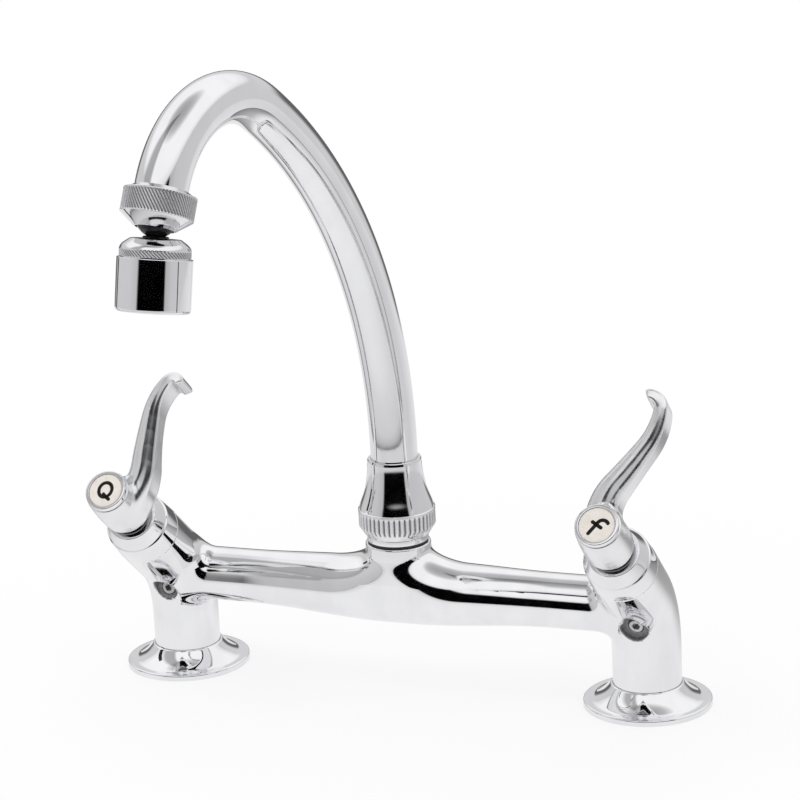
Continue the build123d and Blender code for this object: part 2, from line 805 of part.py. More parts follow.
def make_swivel_ball():
    ring_top = stem_ring_start + stem_ring_height
    body = Sphere(ball_radius) + rod(stem_radius, 0, stem_ring_start)
    body += rod(stem_ring_radius, stem_ring_start, ring_top)
    body += rod(stem_thread_radius, ring_top, ring_top + stem_thread_length)
    body -= rod(stem_bore_radius, -2 * ball_radius, ring_top + stem_thread_length)
    return body


def collar_places():
    """Where the collar starts, where its flare ends, where its band ends and its thread's end."""
    start = stem_ring_start + stem_ring_height
    flare_end = start + collar_flare
    band_end = flare_end + collar_band
    return start, flare_end, band_end, band_end + collar_thread_length


def make_aerator_collar():
    start, flare_end, band_end, end = collar_places()
    flare = Spline([(collar_radius, start), (collar_flare_radius, flare_end)],
                   tangents=[(1, 0.9), (0.25, 1)])
    body = turned(Line((0, start), (collar_radius, start)), flare,
                  Line(flare @ 1, (collar_flare_radius, band_end)),
                  Line((collar_flare_radius, band_end), (collar_thread_radius, band_end)),
                  Line((collar_thread_radius, band_end), (collar_thread_radius, end)),
                  Line((collar_thread_radius, end), (0, end)), Line((0, end), (0, start)))
    body -= rod(stem_thread_radius + slip_clearance, start, start + stem_thread_length)
    body -= rod(stem_bore_radius, start, end)
    body -= turned_points((0, start + stem_thread_length), (stem_thread_radius, start
                          + stem_thread_length), (collar_thread_radius - collar_wall, band_end),
                          (collar_thread_radius - collar_wall, end), (0, end))
    return body


def shell_places():
    """Top, end of the wide bore and mouth of the aerator shell."""
    band_end = collar_places()[2]
    top = band_end + shell_gap
    return top, top + shell_length - shell_mouth, top + shell_length


def make_aerator_shell():
    top, step, mouth = shell_places()
    side = Line((shell_radius, top + shell_top_edge), (shell_radius, mouth - shell_edge))
    foot = JernArc(side @ 1, (0, 1), shell_edge, 90)
    body = turned(Line((0, top), (shell_radius - shell_top_edge, top)),
                  Line((shell_radius - shell_top_edge, top), side @ 0), side, foot,
                  Line(foot @ 1, (0, mouth)), Line((0, mouth), (0, top)))
    body -= rod(shell_radius - shell_wall, top, step)
    body -= rod(shell_mouth_radius, top, mouth)
    return body


def aerator_stack():
    """Heights of the washer, screen and insert inside the shell, from the shell's step up."""
    step = shell_places()[1]
    insert_top = step - insert_length
    screen_top = insert_top - screen_thickness
    return screen_top - aerator_washer_thickness, screen_top, insert_top, step


def make_aerator_washer():
    washer_top, screen_top, insert_top, step = aerator_stack()
    return ring(collar_thread_radius - collar_wall, shell_radius - shell_wall - slip_clearance,
                washer_top, screen_top)


def make_aerator_screen():
    washer_top, screen_top, insert_top, step = aerator_stack()
    return rod(shell_radius - shell_wall - slip_clearance, screen_top, insert_top)


def make_aerator_insert():
    """Open grid of rings and spokes that breaks the stream up."""
    washer_top, screen_top, insert_top, step = aerator_stack()
    outer = shell_radius - shell_wall - slip_clearance
    low = insert_top + insert_drop
    body = ring(outer - insert_rim, outer, insert_top, step)
    for radius in insert_rings:
        body += ring(radius - insert_wall, radius, low, step)
    spoke = Box(outer - insert_rim / 2, insert_wall, step - low - insert_drop,
                align=(Align.MIN, Align.CENTER, Align.MIN))
    for index in range(insert_spokes):
        body += Rot(0, 0, 360 * index / insert_spokes) * Pos(0, 0, low) * spoke
    return body


# ---- write every node ---------------------------------------------------------------------

def build():
    os.makedirs("parts", exist_ok=True)
    write(make_bridge_body(), "bridge_body")
    closed_turn = 90
    for side, name in ((-1, "left"), (1, "right")):
        foot = Pos(side * inlet_x, 0, 0)
        write(foot * make_base_flange(), f"{name}_base_flange")
        write(foot * make_base_gasket(), f"{name}_base_gasket")
        write(make_waterway_plug(side), f"{name}_waterway_plug")
        valve = valve_plane(side)
        write(valve * make_seat_seal(), f"{name}_seat_seal")
        write(valve * make_disc(seal_top, 0), f"{name}_fixed_disc")
        write(valve * make_disc(disc_joint + film, closed_turn), f"{name}_moving_disc")
        write(valve * make_cartridge_body(), f"{name}_cartridge_body")
        write(valve * make_cartridge_seal(), f"{name}_cartridge_seal")
        write(valve * make_spindle(), f"{name}_spindle")
        write(valve * make_spindle_o_ring(), f"{name}_spindle_o_ring")
        write(valve * make_skirt(), f"{name}_skirt")
        write(valve * make_lever(side), f"{name}_lever")
        write(valve * make_handle_screw(), f"{name}_handle_screw")
        write(valve * make_index_cap(), f"{name}_index_cap")
        write(valve * make_index_disc(), f"{name}_index_disc")
    hub = Pos(0, -bridge_forward, 0)
    write(hub * make_hub_nipple(), "hub_nipple")
    write(hub * make_spout_nut(), "spout_nut")
    write(hub * make_spout_slip_ring(), "spout_slip_ring")
    write(hub * make_spout_tailpiece(), "spout_tailpiece")
    write(hub * make_spout_o_rings(), "spout_o_rings")
    write(hub * make_spout_retaining_ring(), "spout_retaining_ring")
    write(make_spout_tube(), "spout_tube")
    outlet = outlet_plane()
    write(outlet * make_outlet_adapter(), "outlet_adapter")
    write(outlet * make_outlet_nut(), "outlet_nut")
    write(outlet * make_ball_seat_washer(), "ball_seat_washer")
    aerator = aerator_plane()
    write(aerator * make_swivel_ball(), "swivel_ball")
    write(aerator * make_aerator_collar(), "aerator_collar")
    write(aerator * make_aerator_shell(), "aerator_shell")
    write(aerator * make_aerator_washer(), "aerator_washer")
    write(aerator * make_aerator_screen(), "aerator_screen")
    write(aerator * make_aerator_insert(), "aerator_insert")


build()
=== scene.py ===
# %% [markdown]
# # A two handle kitchen faucet in polished chrome
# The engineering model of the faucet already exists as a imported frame: every piece has its real
# size and place there. This lesson dresses that frame. Chrome shows every facet of a mesh, so the
# visible castings and turned pieces are made again as fine, smooth meshes over the same sizes,
# and the hidden pieces keep their own meshes and only get a finish.

# %% Load the frame
import bpy
import bmesh
import itertools
import json
import math
import numpy as np
from functools import partial
from mathutils import Matrix, Vector


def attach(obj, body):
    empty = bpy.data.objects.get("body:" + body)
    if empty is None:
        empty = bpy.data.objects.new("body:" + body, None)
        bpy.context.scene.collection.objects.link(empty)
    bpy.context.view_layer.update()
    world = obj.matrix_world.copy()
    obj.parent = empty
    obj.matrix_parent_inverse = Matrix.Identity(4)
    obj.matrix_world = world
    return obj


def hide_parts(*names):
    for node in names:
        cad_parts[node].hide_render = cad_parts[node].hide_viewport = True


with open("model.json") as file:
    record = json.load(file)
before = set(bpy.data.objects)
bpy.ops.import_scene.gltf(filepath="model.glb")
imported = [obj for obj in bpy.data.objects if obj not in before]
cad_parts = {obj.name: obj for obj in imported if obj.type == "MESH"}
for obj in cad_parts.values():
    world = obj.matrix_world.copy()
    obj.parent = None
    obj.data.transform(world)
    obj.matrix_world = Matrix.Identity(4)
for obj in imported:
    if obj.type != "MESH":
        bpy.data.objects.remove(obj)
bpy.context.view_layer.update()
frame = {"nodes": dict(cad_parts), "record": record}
MM = 0.001

# %% [markdown]
# ## The camera
# The picture was taken with a long lens from the front right, a little above the counter. The
# camera is described as a photographer would: how far round, how high, how far away, and a small
# roll. Its own axes are worked out from those angles and written into its matrix.

# %% Camera
CAMERA_ROUND = math.radians(21.196)
CAMERA_HEIGHT = math.radians(15.428)
CAMERA_ROLL = math.radians(2.744)
CAMERA_DISTANCE = 1070.3 * MM
CAMERA_TARGET = Vector((0.933, 0.0, 120.77)) * MM
CAMERA_LENS, CAMERA_SENSOR = 119.43, 36.0


def put(name, data):
    """New object with the given data, linked to the scene."""
    thing = bpy.data.objects.new(name, data)
    bpy.context.scene.collection.objects.link(thing)
    return thing


def make_camera():
    """Camera on its sphere round the target, rolled about its own line of sight."""
    back = Vector((math.sin(CAMERA_ROUND) * math.cos(CAMERA_HEIGHT),
                   -math.cos(CAMERA_ROUND) * math.cos(CAMERA_HEIGHT),
                   math.sin(CAMERA_HEIGHT)))
    level = Vector((math.cos(CAMERA_ROUND), math.sin(CAMERA_ROUND), 0))
    up = back.cross(level)
    right = math.cos(CAMERA_ROLL) * level - math.sin(CAMERA_ROLL) * up
    upright = math.sin(CAMERA_ROLL) * level + math.cos(CAMERA_ROLL) * up
    data = bpy.data.cameras.new("camera")
    data.lens, data.sensor_width = CAMERA_LENS, CAMERA_SENSOR
    camera = put("camera", data)
    axes = Matrix((right, upright, back)).transposed().to_4x4()
    camera.matrix_world = Matrix.Translation(CAMERA_TARGET + back * CAMERA_DISTANCE) @ axes
    bpy.context.scene.camera = camera
    return camera


camera = make_camera()
print("camera at", [round(c, 3) for c in camera.location])

# %% [markdown]
# ## Frames of the moving pieces
# Turned pieces are drawn on an upright axis and then set in place. Each valve leans forward from
# its leg, and the outlet and aerator hang at their own angles from the end of the spout. A frame
# is a 4 x 4 matrix whose third column is the axis that the piece was turned on.

# %% Frames
SIDES = ((-1, "left"), (1, "right"))
INLET_X = 101.5
VALVE_HEIGHT = 41.0
VALVE_TILT = math.radians(49.6)
BRIDGE_FORWARD = 7.1
SPOUT_SWIVEL = math.radians(10.5)
SPOUT_STRAIGHT = 101.3
RISE_RADIUS, RISE_ANGLE = 184.0, math.radians(56.0)
CROOK_RADIUS, CROOK_ANGLE = 42.15, math.radians(100.3)
BALL_CENTRE = 9.5
SWIVEL_BACK, SWIVEL_ASIDE = math.radians(11.75), math.radians(0.67)


def frame_matrix(origin, x_axis, z_axis):
    """Matrix of a right-handed frame, in millimetres."""
    x_axis, z_axis = Vector(x_axis).normalized(), Vector(z_axis).normalized()
    y_axis = z_axis.cross(x_axis)
    turn = Matrix((x_axis, y_axis, z_axis)).transposed().to_4x4()
    return Matrix.Translation(Vector(origin)) @ turn


def valve_frame(side):
    """A valve leans forward from the point where its axis meets its leg's."""
    return frame_matrix((side * INLET_X, 0, VALVE_HEIGHT), (1, 0, 0),
                        (0, -math.sin(VALVE_TILT), math.cos(VALVE_TILT)))


def spout_outward():
    """Level direction in which the spout reaches over the sink."""
    return Vector((-math.sin(SPOUT_SWIVEL), -math.cos(SPOUT_SWIVEL), 0))


def spout_across():
    """Level direction square to the plane of the gooseneck."""
    return Vector((-math.cos(SPOUT_SWIVEL), math.sin(SPOUT_SWIVEL), 0))


def spout_point(reach, height):
    """Point in the plane of the gooseneck, by its reach and height."""
    return Vector((0, -BRIDGE_FORWARD, height)) + spout_outward() * reach


def outlet_frame():
    """End of the gooseneck, with its third axis along the outlet."""
    total = RISE_ANGLE + CROOK_ANGLE
    reach = RISE_RADIUS * (1 - math.cos(RISE_ANGLE))
    reach += CROOK_RADIUS * (math.cos(RISE_ANGLE) - math.cos(total))
    height = SPOUT_STRAIGHT + RISE_RADIUS * math.sin(RISE_ANGLE)
    height += CROOK_RADIUS * (math.sin(total) - math.sin(RISE_ANGLE))
    along = spout_outward() * math.sin(total) + Vector((0, 0, math.cos(total)))
    return frame_matrix(spout_point(reach, height), spout_across(), along)


def aerator_frame():
    """The aerator hangs from the ball's centre, swung back a little towards the upright."""
    outlet = outlet_frame()
    centre = outlet @ Vector((0, 0, BALL_CENTRE))
    across, sideways = outlet.to_3x3().col[0], outlet.to_3x3().col[1]
    along = Matrix.Rotation(-SWIVEL_BACK, 3, across) @ outlet.to_3x3().col[2]
    along = Matrix.Rotation(-SWIVEL_ASIDE, 3, sideways) @ along
    return frame_matrix(centre, across, along)


hub_frame = Matrix.Translation((0, -BRIDGE_FORWARD, 0))
print("outlet ends at", [round(c, 1) for c in outlet_frame().translation])

# %% [markdown]
# ## Chrome and the other finishes
# Polished chrome is a mirror with a faint cool tint. What makes it look real is what spoils the
# mirror: a slight waviness left by hand polishing of the casting, and thin wipe marks that
# change its gloss. Both are noise on Object coordinates, so they stay on the piece in any view.
# A shader is a small net of nodes. Most of them need the same three steps, to be made, set and
# linked, so one helper does all three, and each of the others is a line or two on top of it.

# %% Node helpers
NOISE_LOW, NOISE_HIGH = 0.3, 0.7


def feed(tree, socket, value):
    """Sets a socket to a plain value, or links another node's output to it."""
    if isinstance(value, bpy.types.NodeSocket):
        tree.links.new(value, socket)
    else:
        socket.default_value = value


def add_node(tree, kind, inputs=(), **settings):
    """New node with its settings, and then its inputs by name or number."""
    node = tree.nodes.new(kind)
    for name, value in settings.items():
        setattr(node, name, value)
    for name, value in dict(inputs).items():
        feed(tree, node.inputs[name], value)
    return node


def math_node(tree, operation, *values):
    """Result of one arithmetic step on numbers or on other nodes' outputs."""
    return add_node(tree, "ShaderNodeMath", enumerate(values), operation=operation).outputs[0]


def soft_step(tree, value, start, end):
    """Eased step from 0 at the start to 1 at the end."""
    inputs = {"Value": value, "From Min": start, "From Max": end}
    node = add_node(tree, "ShaderNodeMapRange", inputs, interpolation_type="SMOOTHSTEP")
    return node.outputs["Result"]


def mixed(tree, factor, first, second, kind="RGBA", blend="MIX"):
    """Mixes two colours, or two numbers where the kind is FLOAT."""
    inputs = {"Factor": factor, "A": first, "B": second}
    node = add_node(tree, "ShaderNodeMix", inputs, data_type=kind, blend_type=blend)
    return node.outputs["Result"]


def ramp(tree, value, stops):
    """Colour ramp through (position, grey or colour) stops."""
    node = add_node(tree, "ShaderNodeValToRGB", {"Fac": value})
    elements = node.color_ramp.elements
    elements.remove(elements[-1])
    for number, (position, colour) in enumerate(stops):
        element = elements.new(position) if number else elements[0]
        element.position = position
        element.color = (*colour, 1) if isinstance(colour, tuple) else (colour, colour, colour, 1)
    return node.outputs["Color"]


def noise(tree, scale, detail, stretch=(1, 1, 1)):
    """Noise on the piece's own coordinates, stretched along chosen axes."""
    place = add_node(tree, "ShaderNodeTexCoord").outputs["Object"]
    spread = add_node(tree, "ShaderNodeMapping", {"Vector": place, "Scale": stretch})
    inputs = {"Vector": spread.outputs["Vector"], "Scale": scale, "Detail": detail}
    return add_node(tree, "ShaderNodeTexNoise", inputs).outputs["Fac"]


def remap(tree, value, low, high):
    """Spreads the middle of a noise, where most of it lies, over a range."""
    inputs = {"Value": value, "From Min": NOISE_LOW, "From Max": NOISE_HIGH,
              "To Min": low, "To Max": high}
    return add_node(tree, "ShaderNodeMapRange", inputs).outputs["Result"]


def tint(tree, value, dark, light):
    """Colour that wanders between two given ones."""
    return ramp(tree, value, [(0.35, dark), (0.65, light)])


def bump(tree, value, strength, distance):
    """Direction of a surface that is raised where the value is high."""
    inputs = {"Height": value, "Strength": strength, "Distance": distance}
    return add_node(tree, "ShaderNodeBump", inputs).outputs["Normal"]


print("node helpers ready")

# %% [markdown]
# Two recipes give all finishes. Metal has a tint, a range of gloss and, on castings, a slow
# wave. Plastic and rubber have a fine grain. Chrome also gets painted shade from two mesh
# attributes: one in the drilled pockets of the casting and one between the teeth of the grips.
# They mix the shader towards a dark grey.

# %% Finishes
# Painted shade: the tint, gloss and metalness that the chrome is mixed towards
PAINTED_SHADE_TINT, PAINTED_SHADE_GLOSS, PAINTED_SHADE_METAL = (0.05, 0.05, 0.055, 1), 0.55, 0.2
SMEARS, WIPES, GRAIN_DETAIL = (90.0, 4.0, (1, 1, 0.35)), (240.0, 6.0), 3.0
WAVE_DEPTH, GRAIN_DEPTH = 0.0004, 0.0001


def new_material(name, slot_name=None):
    """Material with its node tree and shader; the slot is the CAD finish it stands for."""
    material = bpy.data.materials.new(name)
    material.use_nodes = True
    if slot_name:
        material["slot"] = slot_name
    return material, material.node_tree, material.node_tree.nodes["Principled BSDF"]


def metal(name, slot_name, dark, light, rough, wave=0.0, wave_scale=60.0, shade_attribute=None):
    """Metal whose tint, gloss and flatness wander a little, with painted shade where a mesh
    attribute says.
    """
    material, tree, shader = new_material(name, slot_name)
    shader.inputs["Metallic"].default_value = 1.0
    colour = tint(tree, noise(tree, *SMEARS), dark, light)
    gloss = remap(tree, noise(tree, *WIPES), *rough)
    # Painted shade: where the attribute is high, the chrome turns dark, rough and less metallic.
    if shade_attribute:
        mark = add_node(tree, "ShaderNodeAttribute", attribute_name=shade_attribute).outputs["Fac"]
        colour = mixed(tree, mark, colour, PAINTED_SHADE_TINT)
        gloss = mixed(tree, mark, gloss, PAINTED_SHADE_GLOSS, "FLOAT")
        feed(tree, shader.inputs["Metallic"], mixed(tree, mark, 1.0, PAINTED_SHADE_METAL, "FLOAT"))
    feed(tree, shader.inputs["Base Color"], colour)
    feed(tree, shader.inputs["Roughness"], gloss)
    if wave:
        swell = noise(tree, wave_scale, 1.0)
        feed(tree, shader.inputs["Normal"], bump(tree, swell, wave, WAVE_DEPTH))
    return material


def plastic(name, slot_name, dark, light, rough, grain=0.1, scale=900.0, shine=0.5):
    """Moulded or rubber finish with a fine grain; shine is the strength of its reflections."""
    material, tree, shader = new_material(name, slot_name)
    speck = noise(tree, scale, GRAIN_DETAIL)
    feed(tree, shader.inputs["Base Color"], tint(tree, speck, dark, light))
    feed(tree, shader.inputs["Roughness"], remap(tree, speck, *rough))
    feed(tree, shader.inputs["Normal"], bump(tree, speck, grain, GRAIN_DEPTH))
    shader.inputs["Specular IOR Level"].default_value = shine
    return material


chrome = metal("polished_chrome", "polished_chrome", (0.85, 0.85, 0.875), (0.90, 0.90, 0.92),
               (0.03, 0.06), wave=0.012)
# Casting chrome, with painted shade inside the drilled pockets
cast_chrome = metal("cast_chrome", "polished_chrome", (0.85, 0.85, 0.87), (0.90, 0.90, 0.915),
                    (0.04, 0.085), wave=0.10, wave_scale=70.0, shade_attribute="pocket_shade")
# Grip chrome, with painted shade in the grooves between the teeth
grip_chrome = metal("grip_chrome", "polished_chrome", (0.82, 0.82, 0.845), (0.88, 0.88, 0.90),
                    (0.04, 0.08), shade_attribute="groove")
# Dark chrome for its slot, and the painted shade of the skirt necks
dark_chrome = metal("dark_chrome", "dark_chrome", (0.22, 0.22, 0.23), (0.32, 0.32, 0.33),
                    (0.12, 0.22))
lever_chrome = metal("lever_chrome", "polished_chrome", (0.84, 0.84, 0.86), (0.89, 0.89, 0.905),
                     (0.20, 0.27), wave=0.05, wave_scale=90.0)
brass = metal("machined_brass", "brass", (0.62, 0.46, 0.20), (0.78, 0.62, 0.32), (0.2, 0.35))
steel = metal("turned_steel", "steel", (0.45, 0.45, 0.46), (0.62, 0.62, 0.63), (0.18, 0.3))
rubber = plastic("black_rubber", "black_rubber", 0.012, 0.03, (0.5, 0.7), 0.3)
ceramic = plastic("lapped_ceramic", "ceramic", (0.80, 0.80, 0.78), (0.88, 0.88, 0.86),
                  (0.2, 0.3))
white_plastic = plastic("slip_plastic", "slip_plastic", (0.72, 0.72, 0.70), (0.82, 0.82, 0.80),
                        (0.35, 0.5))
index_cream = plastic("index_cream", "index_white", (0.70, 0.655, 0.60), (0.75, 0.71, 0.66),
                      (0.25, 0.35), 0.05, 400.0)
letter_black = plastic("letter_black", "index_white", 0.006, 0.012, (0.6, 0.7), shine=0.2)
ball_black = plastic("black_ball_gloss", "dark_chrome", (0.005, 0.005, 0.006),
                     (0.01, 0.01, 0.011), (0.05, 0.09), 0.02, shine=0.25)
SLOT_FINISH = {"polished_chrome": chrome, "dark_chrome": dark_chrome, "brass": brass,
               "steel": steel, "black_rubber": rubber, "ceramic": ceramic,
               "slip_plastic": white_plastic, "index_white": index_cream}


def finish_nodes():
    """Every carried-over piece takes the finish of its own slot."""
    for entry in frame["record"]["subparts"]:
        node = frame["nodes"][entry["node"]]
        node.data.materials.clear()
        node.data.materials.append(SLOT_FINISH[entry["material_slot"]])


finish_nodes()
print("finishes:", len(bpy.data.materials))

# %% [markdown]
# ## Making meshes
# Every piece ends the same way: a mesh is linked to the scene, gets its finish, and rides on the
# body that carries it, so that it moves with its joint. Where it stands for a piece of the
# engineering model, it says which. Sizes are worked out in millimetres, as on a drawing, and
# turned to metres only when the mesh is made.

# %% Shared makers
def keep(name, mesh, body, finish, replaced=()):
    """Links a finished mesh as a piece, in its body and slot."""
    piece = put(name, mesh)
    mesh.materials.clear()
    mesh.materials.append(finish)
    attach(piece, body)
    if replaced:
        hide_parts(*replaced)
    return piece


def mesh_from(name, points, faces, place=None, sharp=None):
    """Smooth mesh from points in millimetres, set in its frame and turned to metres."""
    points = np.asarray(points, float)
    if place is not None:
        matrix = np.array(place)
        points = points @ matrix[:3, :3].T + matrix[:3, 3]
    mesh = bpy.data.meshes.new(name)
    mesh.from_pydata((points * MM).tolist(), [], faces)
    mesh.validate()
    mesh.shade_smooth()
    if sharp:
        mesh.set_sharp_from_angle(angle=math.radians(sharp))
    return mesh


print("shared makers ready")

# %% [markdown]
# ## The lathe
# Most pieces of a faucet are turned on a lathe, so they are turned here too. A profile of radius
# and height goes once round the axis. Its corners are rounded first, because a chromed edge
# always catches a thin line of light. Soft stretches between two corners are eased curves, drawn
# by a direction at each end, as a turner would blend them with a hand tool.

# %% Lathe
SIDE_SHARE, EASE_PULL, ON_AXIS = 0.49, 0.38, 1e-6


def round_corners(corners, steps=5):
    """Profile points with each corner (radius, height, rounding) turned into a small arc."""
    points = []
    for index, corner in enumerate(corners):
        here = Vector(corner[:2])
        size = corner[2] if len(corner) > 2 else 0
        if not size or index in (0, len(corners) - 1):
            points.append(here)
            continue
        before = (Vector(corners[index - 1][:2]) - here)
        after = (Vector(corners[index + 1][:2]) - here)
        half = before.angle(after) / 2
        reach = min(size / math.tan(half), before.length * SIDE_SHARE, after.length * SIDE_SHARE)
        start, end = here + before.normalized() * reach, here + after.normalized() * reach
        for step in range(steps + 1):
            share = step / steps
            points.append(start.lerp(here, share).lerp(here.lerp(end, share), share))
    return points


def lathe(name, corners, place, segments=160, sharp=None):
    """Turned mesh. A profile that starts and ends on the axis is closed with poles."""
    profile = [p if isinstance(p, Vector) else Vector(p) for p in corners]
    points, rows = [], []
    for p in profile:
        if p.x < ON_AXIS:
            rows.append([len(points)])
            points.append((0, 0, p.y))
            continue
        rows.append(list(range(len(points), len(points) + segments)))
        for step in range(segments):
            angle = 2 * math.pi * step / segments
            points.append((p.x * math.cos(angle), p.x * math.sin(angle), p.y))
    faces = []
    closed = len(rows[0]) > 1
    pairs = list(zip(rows, rows[1:])) + ([(rows[-1], rows[0])] if closed else [])
    for lower, upper in pairs:
        if len(lower) == 1 and len(upper) == 1:
            continue
        for step in range(segments):
            after = (step + 1) % segments
            if len(lower) == 1:
                faces.append((lower[0], upper[after], upper[step]))
            elif len(upper) == 1:
                faces.append((lower[step], lower[after], upper[0]))
            else:
                faces.append((lower[step], lower[after], upper[after], upper[step]))
    return mesh_from(name, points, faces, place, sharp)


def keep_turned(name, corners, place, segments, sharp, body, finish, replaced=()):
    """Turns a profile and keeps the piece."""
    keep(name, lathe(name, corners, place, segments, sharp), body, finish, replaced)


def arc(centre, radius, start, end, steps, squeeze=1.0):
    """Points of an arc, with angles in degrees and its width squeezed where asked."""
    angles = np.radians(np.linspace(start, end, steps))
    return [(centre[0] + radius * squeeze * math.cos(a), centre[1] + radius * math.sin(a))
            for a in angles]


def ease(start, end, start_dir, end_dir, steps=24):
    """Smooth profile stretch between two points with a given direction at each."""
    start, end = Vector(start), Vector(end)
    reach = (end - start).length
    first = start + Vector(start_dir).normalized() * reach * EASE_PULL
    second = end - Vector(end_dir).normalized() * reach * EASE_PULL
    points = []
    for t in np.linspace(0, 1, steps):
        points.append(start * (1 - t) ** 3 + first * 3 * t * (1 - t) ** 2
                      + second * 3 * t * t * (1 - t) + end * t ** 3)
    return points


print("lathe ready")

# %% [markdown]
# ## Fields for castings
# A lathe cannot make a form that branches. A field can: it says for each point how far it lies
# from the skin, less than nothing inside. Two round forms then melt into each other with the
# soft blend of a real casting, which no plain boolean gives. To draw the skin, space is cut into
# small cells. Each cell that the skin crosses gets one point, the points are pulled onto the
# skin, and neighbours are joined by a net of faces.

# %% Fields
SKIN_PASSES, FLAT_SLOPE = 4, 1e-6


def gradient(field, points, reach=0.05):
    """Direction in which a field grows, by small steps each way."""
    slope = np.empty_like(points)
    for axis in range(3):
        step = np.zeros(3)
        step[axis] = reach
        slope[:, axis] = field(*(points + step).T) - field(*(points - step).T)
    return slope / (2 * reach)


EDGES = [((0, 0, 0), (1, 0, 0)), ((0, 1, 0), (1, 1, 0)), ((0, 0, 1), (1, 0, 1)),
         ((0, 1, 1), (1, 1, 1)), ((0, 0, 0), (0, 1, 0)), ((1, 0, 0), (1, 1, 0)),
         ((0, 0, 1), (0, 1, 1)), ((1, 0, 1), (1, 1, 1)), ((0, 0, 0), (0, 0, 1)),
         ((1, 0, 0), (1, 0, 1)), ((0, 1, 0), (0, 1, 1)), ((1, 1, 0), (1, 1, 1))]


def skin_of(field, low, high, step):
    """Points, faces and directions of the skin where a field is zero, by a net over cells."""
    axes = [np.arange(a, b + step, step) for a, b in zip(low, high)]
    values = field(*np.meshgrid(*axes, indexing="ij"))
    inside = values < 0
    cells = tuple(n - 1 for n in values.shape)
    filled = np.zeros(cells, np.int8)
    for dx, dy, dz in itertools.product((0, 1), repeat=3):
        filled += inside[dx:dx + cells[0], dy:dy + cells[1], dz:dz + cells[2]]
    active = np.argwhere((filled > 0) & (filled < 8))
    numbers = np.full(cells, -1)
    numbers[tuple(active.T)] = np.arange(len(active))
    total = np.zeros((len(active), 3))
    count = np.zeros(len(active))
    for first, second in EDGES:
        a = values[tuple((active + first).T)]
        b = values[tuple((active + second).T)]
        cross = (a < 0) != (b < 0)
        share = np.where(cross, a / np.where(cross, a - b, 1), 0)
        spot = np.array(first) + share[:, None] * (np.array(second) - np.array(first))
        total += spot * cross[:, None]
        count += cross
    points = np.array(low) + (active + total / count[:, None]) * step
    for _ in range(SKIN_PASSES):
        slope = gradient(field, points)
        size = np.maximum((slope ** 2).sum(1), FLAT_SLOPE)
        move = field(*points.T)[:, None] * slope / size[:, None]
        points -= np.clip(move, -step / 2, step / 2)
    faces = []
    for axis in range(3):
        one, two = [(1, 2), (2, 0), (0, 1)][axis]
        start = np.moveaxis(inside, axis, 0)[:-1]
        end = np.moveaxis(inside, axis, 0)[1:]
        change = np.moveaxis(start != end, 0, axis)
        leaving = np.moveaxis(start & ~end, 0, axis)
        spots = np.argwhere(change)
        spots = spots[(spots[:, one] > 0) & (spots[:, two] > 0)
                      & (spots[:, one] < cells[one]) & (spots[:, two] < cells[two])]
        out = leaving[tuple(spots.T)]
        quad = []
        for shift_one, shift_two in ((-1, -1), (0, -1), (0, 0), (-1, 0)):
            cell = spots.copy()
            cell[:, one] += shift_one
            cell[:, two] += shift_two
            quad.append(numbers[tuple(cell.T)])
        quad = np.stack(quad, 1)
        faces.append(np.where(out[:, None], quad, quad[:, ::-1]))
    normals = gradient(field, points)
    return points, np.concatenate(faces), normals / np.linalg.norm(normals, axis=1)[:, None]


def skin_mesh(name, points, faces, normals, place=None):
    """Mesh of a field's skin, shaded with the field's own exact directions."""
    mesh = mesh_from(name, points, faces.tolist(), place)
    if place is not None:
        normals = normals @ np.array(place)[:3, :3].T
    mesh.normals_split_custom_set_from_vertices(normals.tolist())
    print(name, len(mesh.vertices), "points")
    return mesh


def melt(first, second, reach):
    """Union of two fields whose meeting line is filled over the given reach."""
    mix = np.clip(0.5 + 0.5 * (second - first) / reach, 0, 1)
    return second + (first - second) * mix - reach * mix * (1 - mix)


def carve(body, hole, reach):
    """Body less a hole, with the edge rounded over the given reach."""
    return -melt(-body, hole, reach)


print("fields ready")

# %% [markdown]
# ## The bridge casting
# One casting carries everything: two legs that bend forward into the valves, two arms that swell
# towards the middle, and the hub. Each is a simple field. Round bars are the distance to their
# centreline, less their radius. The arms and the hub share one T-shaped centreline, so the front
# of the hub runs flush down into the arms, as the pattern maker shaped it, and only the inner
# corners fill up.

# %% Trunk and legs
LEG_RADIUS, LEG_EDGE, LEG_MELT = 13.9, 0.4, 6.5
ELBOW_RADIUS = 37.0
VALVE_FACE = 41.4
ARM_HEIGHT = 42.2
ARM_RADIUS, ARM_MIDDLE_RADIUS, ARM_END = 10.3, 13.6, INLET_X - 8.0
ARM_SWELL_START, ARM_SWELL_LENGTH = 66.0, 60.0
HUB_RADIUS, HUB_TOP, HUB_EDGE = 13.35, 63.5, 0.5
HUB_STARTS, HUB_GROWS = 6, 10
TONGUE_HEIGHTS, TONGUE_MELT, SHARP_MELT = (0, 6, 20), (27.0, 27.0, 4.0), 0.1


def bar(x, y, z, matrix, radius, low, high):
    """Distance to a round bar along a frame's axis."""
    place = np.array(matrix.inverted())
    a, b, c = (row[0] * x + row[1] * y + row[2] * z + row[3] for row in place[:3])
    return np.maximum(np.hypot(a, b) - radius, np.maximum(low - c, c - high))


def leg_field(x, y, z):
    """Both legs: upright, then round the elbow, then straight along the valve."""
    tangent = ELBOW_RADIUS * math.tan(VALVE_TILT / 2)
    out = y + ELBOW_RADIUS
    up = z - (VALVE_HEIGHT - tangent)
    turn = np.arctan2(up, out)
    across = y * math.cos(VALVE_TILT) + (z - VALVE_HEIGHT) * math.sin(VALVE_TILT)
    bend = np.hypot(out, up) - ELBOW_RADIUS
    offset = np.where(turn < 0, y, np.where(turn > VALVE_TILT, across, bend))
    skin = np.hypot(offset, np.abs(x) - INLET_X) - LEG_RADIUS
    along = -y * math.sin(VALVE_TILT) + (z - VALVE_HEIGHT) * math.cos(VALVE_TILT)
    return -melt(-skin, -np.maximum(-z, along - VALVE_FACE), LEG_EDGE)


